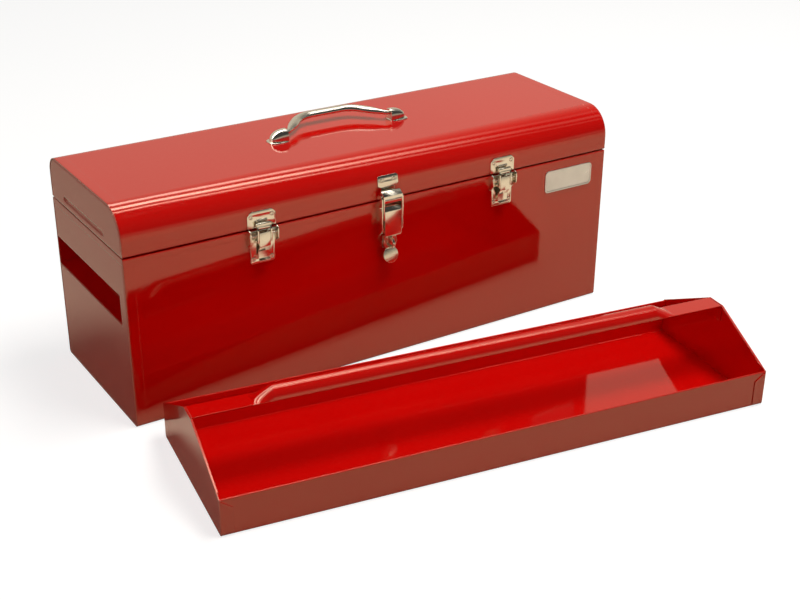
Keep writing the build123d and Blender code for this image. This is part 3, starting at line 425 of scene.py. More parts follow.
@dataclass(frozen=True)
class Plating:
    """Bright nickel plating on stamped steel."""

    name: str
    colour: Colour = (0.88, 0.83, 0.70, 1.0)
    cloud: Colour = (0.78, 0.72, 0.59, 1.0)
    roughness: float = 0.17
    grain: float = 0.25
    edge_radius: float = 0.35 * MM
    # Brighter colour on edges: partly wear, partly painted highlight.
    edge: Colour = (0.95, 0.92, 0.85, 1.0)
    wear_and_highlight: float = 0.6
    cloud_roughness: float = 0.14
    grain_height: float = 0.02 * MM

    def build(self, effects: SharedEffects) -> Material:
        """Build the material.

        Args:
            effects: The shared groups.

        Returns:
            The material.
        """
        material, sheet, shader = new_material(self.name)
        grain = sheet.add("ShaderNodeGroup", 0, 0, node_tree=effects.plating_grain)
        wear_and_highlight = sheet.add("ShaderNodeGroup", 0, 1, node_tree=effects.edge_wear_and_highlight, feeds={
            "Reach": self.edge_radius, "Amount": self.wear_and_highlight})
        cloud = grain.outputs["Cloud"]
        metal = mix_colour(sheet, 2, 0, cloud, self.colour, self.cloud)
        # Edges painted brighter: partly wear, partly painted highlight.
        metal = mix_colour(sheet, 3, 0, wear_and_highlight.outputs["Mask"], metal, self.edge)
        rough = sheet.math("MULTIPLY_ADD", 3, 2, cloud, self.cloud_roughness,
                           self.roughness - self.cloud_roughness / 2)
        normal = rolled_normal(sheet, grain.outputs["Height"], self.edge_radius, self.grain,
                               self.grain_height)
        sheet.feed(shader, {"Base Color": metal, "Roughness": rough, "Normal": normal,
                            "Metallic": 1.0})
        return material


def link_object(name: str, mesh: Mesh) -> Piece:
    """Put a mesh in the scene.

    Args:
        name: Name of the piece.
        mesh: Its mesh.

    Returns:
        The piece, not yet on a body.
    """
    piece = bpy.data.objects.new(name, mesh)
    bpy.context.scene.collection.objects.link(piece)
    return piece


def report(piece: Piece) -> None:
    """Log a finished piece."""
    log.info("%s: %d faces", piece.name, len(piece.data.polygons))


def flatten(piece: Piece) -> None:
    """Turn a piece with modifiers into a plain mesh and drop the modifiers.

    Args:
        piece: The piece.
    """
    graph = bpy.context.evaluated_depsgraph_get()
    graph.update()
    mesh = bpy.data.meshes.new_from_object(piece.evaluated_get(graph))
    piece.modifiers.clear()
    piece.data = mesh
    mesh.name = piece.name


@dataclass
class EyeletRun:
    """Tubular rivets, each a rolled rim round a small cup, set by Geometry Nodes."""

    name: str
    body: Body
    rim_radius: float = 1.75 * MM
    rim_bead: float = 0.72 * MM
    flatten_share: float = 0.6
    cup_drop: float = 0.25 * MM
    rim_steps: int = 36
    bead_steps: int = 14

    def tree(self) -> tuple[Tree, dict[str, str]]:
        """Build the node tree that sets one rivet on every point.

        Returns:
            The tree and the identifiers of its inputs by name.
        """
        tree = bpy.data.node_groups.new(self.name + "_setting", "GeometryNodeTree")
        tree.interface.new_socket(name="Spots", in_out="INPUT", socket_type="NodeSocketGeometry")
        sockets = {}
        for title, kind in (("Rim Radius", "NodeSocketFloat"), ("Rim Bead", "NodeSocketFloat"),
                            ("Flatten", "NodeSocketFloat"), ("Cup Drop", "NodeSocketFloat"),
                            ("Finish", "NodeSocketMaterial")):
            socket = tree.interface.new_socket(name=title, in_out="INPUT", socket_type=kind)
            sockets[title] = socket.identifier
        tree.interface.new_socket(name="Rivets", in_out="OUTPUT", socket_type="NodeSocketGeometry")
        sheet = NodeSheet(tree)
        source = sheet.add("NodeGroupInput", 0, 0)
        rim = sheet.add("GeometryNodeCurvePrimitiveCircle", 1, 1, {"Resolution": self.rim_steps})
        bead = sheet.add("GeometryNodeCurvePrimitiveCircle", 1, 2, {"Resolution": self.bead_steps})
        roll = sheet.add("GeometryNodeCurveToMesh", 3, 1)
        cup = sheet.add("GeometryNodeMeshCircle", 3, 2, {"Vertices": self.rim_steps},
                        fill_type="TRIANGLE_FAN")
        drop = sheet.add("GeometryNodeTransform", 4, 2)
        depth = sheet.math("MULTIPLY", 2, 3, source.outputs["Cup Drop"], -1.0)
        down = sheet.add("ShaderNodeCombineXYZ", 3, 3, {"Z": depth})
        both = sheet.add("GeometryNodeJoinGeometry", 5, 1)
        squash = sheet.add("GeometryNodeTransform", 6, 1)
        size = sheet.add("ShaderNodeCombineXYZ", 5, 3, {"X": 1.0, "Y": 1.0})
        facing = sheet.add("GeometryNodeInputNamedAttribute", 4, 4, {"Name": "facing"},
                           data_type="FLOAT_VECTOR")
        turn = sheet.add("FunctionNodeAlignRotationToVector", 6, 4, axis="Z")
        points = sheet.add("GeometryNodeInstanceOnPoints", 8, 0)
        real = sheet.add("GeometryNodeRealizeInstances", 9, 0)
        smooth = sheet.add("GeometryNodeSetShadeSmooth", 10, 0)
        dress = sheet.add("GeometryNodeSetMaterial", 11, 0)
        result = sheet.add("NodeGroupOutput", 12, 0)
        for first, out, second, into in (
                (source, "Rim Radius", rim, "Radius"), (source, "Rim Bead", bead, "Radius"),
                (rim, "Curve", roll, "Curve"), (bead, "Curve", roll, "Profile Curve"),
                (source, "Rim Radius", cup, "Radius"), (cup, "Mesh", drop, "Geometry"),
                (down, "Vector", drop, "Translation"), (roll, "Mesh", both, "Geometry"),
                (drop, "Geometry", both, "Geometry"), (source, "Flatten", size, "Z"),
                (size, "Vector", squash, "Scale"), (both, "Geometry", squash, "Geometry"),
                (facing, "Attribute", turn, "Vector"), (source, "Spots", points, "Points"),
                (squash, "Geometry", points, "Instance"), (turn, "Rotation", points, "Rotation"),
                (points, "Instances", real, "Geometry"), (real, "Geometry", smooth, "Geometry"),
                (smooth, "Geometry", dress, "Geometry"), (source, "Finish", dress, "Material"),
                (dress, "Geometry", result, "Rivets")):
            sheet.link(first.outputs[out], second.inputs[into])
        return tree, sockets

    def build(self, spots: list[Seat], material: Material,
              slot: Slot, replaced: tuple[str, ...] = ()) -> None:
        """Set the rivets and ride them on their body.

        Args:
            spots: Seat and outward direction of each rivet.
            material: Finish of the rivets.
            slot: Record slot of the finish; not used.
            replaced: CAD nodes that the rivets stand for.
        """
        mesh = bpy.data.meshes.new(self.name)
        mesh.from_pydata([tuple(seat) for seat, _ in spots], [], [])
        facing = mesh.attributes.new("facing", "FLOAT_VECTOR", "POINT")
        for index, (_, direction) in enumerate(spots):
            facing.data[index].vector = direction
        piece = link_object(self.name, mesh)
        tree, sockets = self.tree()
        modifier = piece.modifiers.new("setting", "NODES")
        modifier.node_group = tree
        for title, value in (("Rim Radius", self.rim_radius), ("Rim Bead", self.rim_bead),
                             ("Flatten", self.flatten_share), ("Cup Drop", self.cup_drop),
                             ("Finish", material)):
            modifier[sockets[title]] = value
        flatten(piece)
        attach(piece, self.body.value)
        if replaced:
            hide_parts(*replaced)
        report(piece)


@dataclass
class PressedShell:
    """Welded sheet pieces joined in one skin, whose shared corners shade as rolled ones."""

    name: str
    body: Body
    nodes: tuple[str, ...]

    def build(self, material: Material) -> None:
        """Join copies of the nodes' meshes with their normals.

        Args:
            material: Finish of the shell.
        """
        points, faces, normals = [], [], []
        for node in self.nodes:
            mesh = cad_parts[node].data
            start = len(points)
            points.extend(tuple(vertex.co) for vertex in mesh.vertices)
            faces.extend([start + index for index in face.vertices] for face in mesh.polygons)
            normals.extend(tuple(corner.vector) for corner in mesh.corner_normals)
        mesh = bpy.data.meshes.new(self.name)
        mesh.from_pydata(points, [], faces)
        mesh.polygons.foreach_set("use_smooth", [True] * len(faces))
        mesh.normals_split_custom_set(normals)
        mesh.materials.append(material)
        piece = link_object(self.name, mesh)
        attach(piece, self.body.value)
        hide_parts(*self.nodes)
        report(piece)


@dataclass
class SoftenedStamping:
    """A stamped CAD piece copied with its sheared edges rolled over."""

    node: str
    body: Body
    roll: float = 0.22 * MM
    segments: int = 2
    flat_degrees: float = 1.5
    crease_degrees: float = 32.0

    def build(self, material: Material) -> None:
        """Copy the node's mesh, merge it and roll its edges.

        Args:
            material: Finish of the stamping.
        """
        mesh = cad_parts[self.node].data.copy()
        work = bmesh.new()
        work.from_mesh(mesh)
        bmesh.ops.remove_doubles(work, verts=work.verts, dist=MERGE_DISTANCE)
        bmesh.ops.dissolve_limit(work, angle_limit=math.radians(self.flat_degrees),
                                 verts=work.verts, edges=work.edges)
        for face in work.faces:
            face.smooth = True
        work.to_mesh(mesh)
        work.free()
        if "custom_normal" in mesh.attributes:
            mesh.attributes.remove(mesh.attributes["custom_normal"])
        mesh.materials.clear()
        mesh.materials.append(material)
        piece = link_object(self.node + "_rolled", mesh)
        bevel = piece.modifiers.new("roll", "BEVEL")
        bevel.width = self.roll
        bevel.segments = self.segments
        bevel.limit_method = "ANGLE"
        bevel.angle_limit = math.radians(self.crease_degrees)
        bevel.use_clamp_overlap = True
        flatten(piece)
        piece.data.set_sharp_from_angle(angle=math.radians(self.crease_degrees))
        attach(piece, self.body.value)
        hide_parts(self.node)
        report(piece)


def skin(name: str, rings: list[list[Vector]], material: Material, crease: float) -> Piece:
    """Join rings of points into one closed skin with smooth faces.

    Args:
        name: Name of the piece.
        rings: Rings of equal count, from one end to the other.
        material: Finish of the piece.
        crease: Angle in degrees above which an edge stays sharp.

    Returns:
        The piece, not yet on a body.
    """
    work = bmesh.new()
    loops = [[work.verts.new(point) for point in ring] for ring in rings]
    count = len(loops[0])
    for first, second in zip(loops, loops[1:]):
        for i in range(count):
            j = (i + 1) % count
            work.faces.new((first[i], first[j], second[j], second[i]))
    work.faces.new(loops[-1])
    work.faces.new(list(reversed(loops[0])))
    bmesh.ops.recalc_face_normals(work, faces=work.faces)
    for face in work.faces:
        face.smooth = True
    mesh = bpy.data.meshes.new(name)
    work.to_mesh(mesh)
    work.free()
    mesh.set_sharp_from_angle(angle=math.radians(crease))
    mesh.materials.append(material)
    return link_object(name, mesh)


def round_turn(steps: int) -> list[tuple[float, float]]:
    """Cosine and sine at even steps once round."""
    return [(math.cos(math.tau * k / steps), math.sin(math.tau * k / steps)) for k in range(steps)]


def squared(value: float, power: float) -> float:
    """Power of a sine or cosine that keeps its sign, for a squarish oval."""
    return math.copysign(abs(value) ** power, value)


@dataclass
class BarePlate:
    """Blank satin plate on the front, with a raised rim."""

    left: float = 217.0 * MM
    right: float = 286.0 * MM
    low: float = 152.5 * MM
    high: float = 179.5 * MM
    corner: float = 5.0 * MM
    gauge: float = 0.9 * MM
    rim: float = 1.6 * MM
    rim_fall: float = 0.5 * MM
    sink: float = 0.35 * MM
    edge: tuple[tuple[float, float], ...] = ((0.0, 0.0), (0.0, 0.7), (0.25 * MM, 1.0))
    corner_share: float = 0.6
    corner_steps: int = 8
    crease: float = 30.0

    def loop(self, inset: float, stand: float, front: float) -> list[Point]:
        """Rounded outline at an inset and a height off the front face.

        Args:
            inset: Distance in from the plate's edge.
            stand: Height off the face.
            front: Y of the face.

        Returns:
            The outline's points, anticlockwise seen from the front.
        """
        points = []
        radius = self.corner - inset * self.corner_share
        left, right = self.left + inset + radius, self.right - inset - radius
        low, high = self.low + inset + radius, self.high - inset - radius
        for x, z, start in ((right, high, 0.0), (left, high, 90.0), (left, low, 180.0),
                            (right, low, 270.0)):
            for step in range(self.corner_steps + 1):
                angle = math.radians(start + 90.0 * step / self.corner_steps)
                points.append((x + radius * math.cos(angle), front - stand,
                               z + radius * math.sin(angle)))
        return points

    def build(self, material: Material) -> None:
        """Build the plate on the front of the box.

        Args:
            material: Finish of the plate.
        """
        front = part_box("body_wrap")[0][1]
        profile = [(inset, self.gauge * share) for inset, share in self.edge]
        profile += [(self.rim, self.gauge), (self.rim + self.rim_fall, self.gauge - self.sink)]
        rings = [self.loop(inset, stand, front) for inset, stand in profile]
        piece = skin("bare_plate", rings, material, self.crease)
        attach(piece, Body.BOX.value)
        report(piece)


@dataclass
class CarryHandle:
    """Bail of the lid: slim pivots that swell into flat oval legs and a grip, in one plane."""

    axis: Point = (0.0, 5.0 * MM, 248.8 * MM)
    rest_degrees: float = 6.0
    reach: float = 32.0 * MM
    end_x: float = 76.0 * MM
    foot_x: float = 64.0 * MM
    shoulder_x: float = 32.5 * MM
    foot_bend: float = 5.0 * MM
    shoulder_bend: float = 34.0 * MM
    pivot_radius: float = 2.5 * MM
    grip_wide: float = 5.6 * MM
    grip_thick: float = 3.7 * MM
    swell: float = 15.0 * MM
    step: float = 1.6 * MM
    bend_steps: int = 12
    section_steps: int = 24
    crease: float = 40.0

    def line(self) -> list[Vector]:
        """Middle line in the bail's plane, with its corners rounded.

        Returns:
            Points at an even step, x along the lid and y away from the axis.
        """
        corners = [(-self.end_x, 0.0), (-self.foot_x, 0.0), (-self.shoulder_x, self.reach),
                   (self.shoulder_x, self.reach), (self.foot_x, 0.0), (self.end_x, 0.0)]
        bends = (self.foot_bend, self.shoulder_bend, self.shoulder_bend, self.foot_bend)
        spots = [Vector(p) for p in corners]
        rough = [spots[0]]
        for before, corner, after, bend in zip(spots, spots[1:], spots[2:], bends):
            back, on = (before - corner).normalized(), (after - corner).normalized()
            half = back.angle(on) / 2
            run = bend / math.tan(half)
            centre = corner + (back + on).normalized() * (bend / math.sin(half))
            start, stop = corner + back * run - centre, corner + on * run - centre
            sweep = start.angle_signed(stop)
            for k in range(self.bend_steps + 1):
                turned = Matrix.Rotation(-sweep * k / self.bend_steps, 2)
                rough.append(centre + turned @ start)
        rough.append(spots[-1])
        points = [rough[0]]
        for first, second in zip(rough, rough[1:]):
            pieces = max(1, round((second - first).length / self.step))
            points.extend(first.lerp(second, k / pieces) for k in range(1, pieces + 1))
        return points

    def build(self, material: Material) -> None:
        """Sweep the oval section along the line.

        Args:
            material: Finish of the bail.
        """
        lean = math.radians(self.rest_degrees)
        out = Vector((0.0, math.cos(lean), math.sin(lean)))
        up = Vector((0.0, -math.sin(lean), math.cos(lean)))
        points = self.line()
        rings = []
        for index, point in enumerate(points):
            before, after = points[max(index - 1, 0)], points[min(index + 1, len(points) - 1)]
            along = (after - before).normalized()
            gone = min(max(point.y / self.swell, 0.0), 1.0)
            gone = gone * gone * (3 - 2 * gone)
            wide = self.pivot_radius + (self.grip_wide - self.pivot_radius) * gone
            thick = self.pivot_radius + (self.grip_thick - self.pivot_radius) * gone
            middle = Vector(self.axis) + Vector((point.x, 0, 0)) + out * point.y
            across = Vector((-along.y, 0, 0)) + out * along.x
            rings.append([middle + across * wide * c + up * thick * s
                          for c, s in round_turn(self.section_steps)])
        piece = skin("carry_handle", rings, material, self.crease)
        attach(piece, Body.BAIL.value)
        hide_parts("handle")
        report(piece)


@dataclass
class PivotCap:
    """Pressed cap over one end of the handle: a flange round a dome with an open inner end."""

    node: str
    side: int
    inner: float = 66.5 * MM
    length: float = 23.0 * MM
    middle_y: float = 5.0 * MM
    seat: float = 240.0 * MM
    flange: float = 1.3 * MM
    flange_half: float = 9.4 * MM
    dome_half: float = 7.4 * MM
    dome_length: float = 20.5 * MM
    rise: float = 13.2 * MM
    bore: float = 2.8 * MM
    bore_rise: float = 8.8 * MM
    bore_depth: float = 8.0 * MM
    bore_lip: float = 0.4 * MM
    lip: tuple[tuple[float, float], ...] = ((0.0, 0.93), (0.25 * MM, 0.98))
    dome_start: float = 1.0 * MM
    dome_run: float = 19.5 * MM
    dome_rings: int = 22
    dome_steps: int = 40
    plan_powers: tuple[float, float] = (3.4, 0.42)
    rise_powers: tuple[float, float] = (2.6, 0.5)
    section_powers: tuple[float, float] = (0.62, 0.72)
    least_half: float = 0.3 * MM
    least_rise: float = 0.2 * MM
    foot_edge: tuple[tuple[float, float], ...] = (
        (0.0, 0.0), (0.0, 0.7 * MM), (0.25 * MM, 1.1 * MM), (0.8 * MM, 1.3 * MM))
    foot_steps: int = 56
    foot_power: float = 0.55
    foot_shift: float = 0.5 * MM
    crease: float = 38.0

    def at(self, along: float, across: float, up: float) -> Vector:
        """Point of the cap, measured out from its inner end."""
        return Vector((self.side * (self.inner + along), self.middle_y + across, self.seat + up))

    def dome(self) -> list[list[Vector]]:
        """Rings of the dome, from the bottom of its bore to its outer end.

        Returns:
            Rings in planes across the handle's axis.
        """
        turns = round_turn(self.dome_steps)
        rings = [[self.at(depth, self.bore * c, self.bore_rise + self.bore * s) for c, s in turns]
                 for depth in (self.bore_depth, self.bore_lip)]
        body = [(self.dome_start + self.dome_run * k / self.dome_rings, 1.0)
                for k in range(self.dome_rings + 1)]
        for along, share in [*self.lip, *body]:
            place = min(along / self.dome_length, 1.0)
            half, high = (size * share * max(1 - place ** steep, 0.0) ** blunt
                          for size, (steep, blunt) in ((self.dome_half, self.plan_powers),
                                                       (self.rise - self.flange, self.rise_powers)))
            half, high = max(half, self.least_half), max(high, self.least_rise)
            ring = []
            for c, s in turns:
                up = self.flange / 2
                if s > 0:
                    up += s ** self.section_powers[1] * high + self.flange / 2
                ring.append(self.at(along, squared(c, self.section_powers[0]) * half, up))
            rings.append(ring)
        return rings

    def foot(self) -> list[list[Vector]]:
        """Rings of the flange, from the lid up, with a rounded top edge.

        Returns:
            Rings in planes along the lid.
        """
        middle = self.length / 2 - self.foot_shift
        return [[self.at(middle + squared(c, self.foot_power) * (self.length / 2 - inset),
                         squared(s, self.foot_power) * (self.flange_half - inset), up)
                 for c, s in round_turn(self.foot_steps)] for inset, up in self.foot_edge]

    def build(self, material: Material) -> None:
        """Make the dome and the flange.

        Args:
            material: Finish of the cap.
        """
        for part, rings in (("_dome", self.dome()), ("_flange", self.foot())):
            piece = skin(self.node + part, rings, material, self.crease)
            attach(piece, Body.LID.value)
            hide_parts(self.node)
            report(piece)


@dataclass
class Fastenings:
    """Places of the rivets, taken from the frame's own nodes."""

    rise: float = 0.75 * MM
    curved_height: float = 5.15 * MM
    curved_rise: float = 1.35

    @staticmethod
    def clusters(node: str) -> list[Seat]:
        """Corners of each loose rivet in a node that holds several.

        Args:
            node: Name of the CAD node.

        Returns:
            Lowest and highest corner of each rivet.
        """
        work = bmesh.new()
        work.from_mesh(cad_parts[node].data)
        bmesh.ops.remove_doubles(work, verts=work.verts, dist=MERGE_DISTANCE)
        left = set(work.verts)
        boxes = []
        while left:
            stack = [left.pop()]
            found = []
            while stack:
                vert = stack.pop()
                found.append(vert.co.copy())
                for edge in vert.link_edges:
                    other = edge.other_vert(vert)
                    if other in left:
                        left.discard(other)
                        stack.append(other)
            boxes.append(tuple(Vector([pick(p[i] for p in found) for i in range(3)])
                               for pick in (min, max)))
        work.free()
        return sorted(boxes, key=lambda pair: tuple(round(v, 5) for v in pair[0]))

    def through_front(self, node: str, lean: float = 0.0) -> list[Seat]:
        """Seats of a node's rivets that go through the front, outside and inside.

        Args:
            node: Name of the CAD node.
            lean: Upward turn of the rivets that follow the lid's curve, in degrees.

        Returns:
            Seat and direction for each rim.
        """
        spots = []
        for low, high in self.clusters(node):
            middle = (low + high) / 2
            curved = high.z - low.z > self.curved_height
            angle = math.radians(lean if curved else 0.0)
            outward = Vector((0.0, -math.cos(angle), math.sin(angle)))
            half = (high.y - low.y) / 2 / math.cos(angle)
            reach = half - self.rise * (self.curved_rise if curved else 1.0)
            spots.append((middle + outward * reach, outward))
            spots.append((middle - outward * reach, -outward))
        return spots

    def under_lid(self, node: str) -> list[Seat]:
        """Seats of a node's rivets whose heads are set under the lid.

        Args:
            node: Name of the CAD node.

        Returns:
            Seat and direction for each rim.
        """
        return [(Vector(((low.x + high.x) / 2, (low.y + high.y) / 2, low.z + self.rise)),
                 Vector((0, 0, -1))) for low, high in self.clusters(node)]


@dataclass
class TrayDetail:
    """Spot welds that hold the tabs of the tray's carry bar."""

    turn_degrees: float = -8.43
    end_inside: float = 299.8 * MM
    tab_half: float = 6.0 * MM
    tab_height: float = 70.5 * MM

    def spots(self) -> list[Seat]:
        """Weld places with their outward directions, turned as the tray stands on the floor.

        Returns:
            Seat and direction of each weld.
        """
        low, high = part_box("tray_pan")
        middle = Vector(((low[0] + high[0]) / 2, (low[1] + high[1]) / 2, 0.0))
        turn = Matrix.Rotation(math.radians(self.turn_degrees), 3, "Z")
        found = []
        for side in (-1, 1):
            for across in (-1, 1):
                seat = Vector((side * self.end_inside, across * self.tab_half, self.tab_height))
                found.append((middle + turn @ seat, turn @ Vector((-side, 0, 0))))
        return found


class ToolBox:
    """The box, its lid and the tray: finishes on CAD pieces and pieces that replace some."""

    STRIKE_LEAN = 8.27
    PAINTED = ("hinge_body_leaf", "hinge_lid_leaf", "hinge_pin", "tray_pan", "tray_end_left",
               "tray_end_right", "tray_bar")
    SHELLS = (PressedShell("box_shell", Body.BOX, ("body_wrap", "end_left", "end_right")),
              PressedShell("lid_shell", Body.LID, ("lid_wrap", "lid_end_left", "lid_end_right")))
    STAMPED = (("strike_left", Body.LID), ("strike_right", Body.LID), ("hasp_strike", Body.LID),
               ("latch_base_left", Body.BOX), ("latch_base_right", Body.BOX),
               ("hasp_base", Body.BOX),
               ("latch_lever_left", Body.LEVER_LEFT), ("latch_lever_right", Body.LEVER_RIGHT),
               ("draw_loop_left", Body.LOOP_LEFT), ("draw_loop_right", Body.LOOP_RIGHT),
               ("hasp_lever", Body.HASP_CATCH), ("hasp_link", Body.HASP_HOOD))
    CAPPED = (("handle_bracket_left", -1), ("handle_bracket_right", 1))
    PLAIN_PLATED = ("latch_pin_left", "latch_pin_right", "hasp_pin", "padlock_staple")

    def __init__(self) -> None:
        """Build the finishes."""
        effects = SharedEffects()
        self.enamel = Enamel().build(effects)
        # The wider reach also widens the edges painted lighter by the edge mask, partly a painted
        # highlight on the rounded corners.
        self.shell_enamel = Enamel("red_enamel_shell", edge_radius=2.4 * MM).build(effects)
        self.nickel = Plating("stamped_nickel").build(effects)
        self.chrome = Plating("polished_handle", colour=(0.88, 0.84, 0.74, 1.0),
                              cloud=(0.78, 0.73, 0.62, 1.0), roughness=0.12,
                              grain=0.08).build(effects)
        self.satin = Plating("satin_plate", colour=(0.72, 0.72, 0.70, 1.0),
                             cloud=(0.60, 0.60, 0.58, 1.0), roughness=0.30,
                             grain=0.5).build(effects)

    def dress(self, node: str, material: Material) -> None:
        """Give a CAD node its finish.

        Args:
            node: Name of the CAD node.
            material: Its finish.
        """
        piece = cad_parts[node]
        for slot in piece.material_slots:
            slot.material = material
        log.info("%s: %s", node, material.name)

    def build(self) -> None:
        """Dress the CAD pieces and add the detail pieces."""
        for node in self.PAINTED:
            self.dress(node, self.enamel)
        for shell in self.SHELLS:
            shell.build(self.shell_enamel)
        for node in self.PLAIN_PLATED:
            self.dress(node, self.nickel)
        CarryHandle().build(self.chrome)
        for node, body in self.STAMPED:
            SoftenedStamping(node, body).build(self.nickel)
        for node, side in self.CAPPED:
            PivotCap(node, side).build(self.chrome)
        fastenings = Fastenings()
        EyeletRun("lid_front_eyelets", Body.LID).build(
            fastenings.through_front("strike_rivets", self.STRIKE_LEAN), self.nickel, Slot.PLATED,
            ("strike_rivets",))
        EyeletRun("lid_inside_eyelets", Body.LID).build(
            fastenings.under_lid("bracket_rivets"), self.nickel, Slot.PLATED, ("bracket_rivets",))
        EyeletRun("box_front_eyelets", Body.BOX).build(
            fastenings.through_front("base_rivets") + fastenings.through_front("staple_rivets"),
            self.nickel, Slot.PLATED, ("base_rivets", "staple_rivets"))
        EyeletRun("tray_spot_welds", Body.TRAY, rim_radius=1.9 * MM, rim_bead=0.5 * MM,
                  flatten_share=0.35, cup_drop=0.05 * MM).build(
            TrayDetail().spots(), self.enamel, Slot.PAINT)
        BarePlate().build(self.satin)


@dataclass(frozen=True)
class SoftBox:
    """One long soft box over the object, in degrees from straight up towards the rear."""

    middle: float
    width: float
    edge: float
    strength: float

    def stops(self, tint: Point) -> tuple[Stop, ...]:
        """Give the box's brightness over the angle.

        Args:
            tint: Colour of its light.

        Returns:
            Four stops, dark outside the box.
        """
        half, bright = 0.5 * self.width, tuple(self.strength * value for value in tint)
        return ((self.middle - half - self.edge, BLACK), (self.middle - half, bright),
                (self.middle + half, bright), (self.middle + half + self.edge, BLACK))


@dataclass(frozen=True)
class SoftLamp:
    """One soft lamp. The studio's soft boxes stand for its glow in gloss."""

    name: str
    at: Point
    aim: Point
    size: tuple[float, float]
    watts: float
    colour: Point = (1.0, 0.97, 0.92)

    def hang(self) -> None:
        """Hang the lamp in the scene."""
        data = bpy.data.lights.new(self.name, "AREA")
        data.shape = "RECTANGLE"
        data.size, data.size_y = self.size
        data.energy = self.watts
        data.color = self.colour
        lamp = bpy.data.objects.new(self.name, data)
        lamp.location = self.at
        facing = Vector(self.aim) - Vector(self.at)
        lamp.rotation_euler = facing.to_track_quat("-Z", "Y").to_euler()
        lamp.visible_glossy = False
        bpy.context.scene.collection.objects.link(lamp)


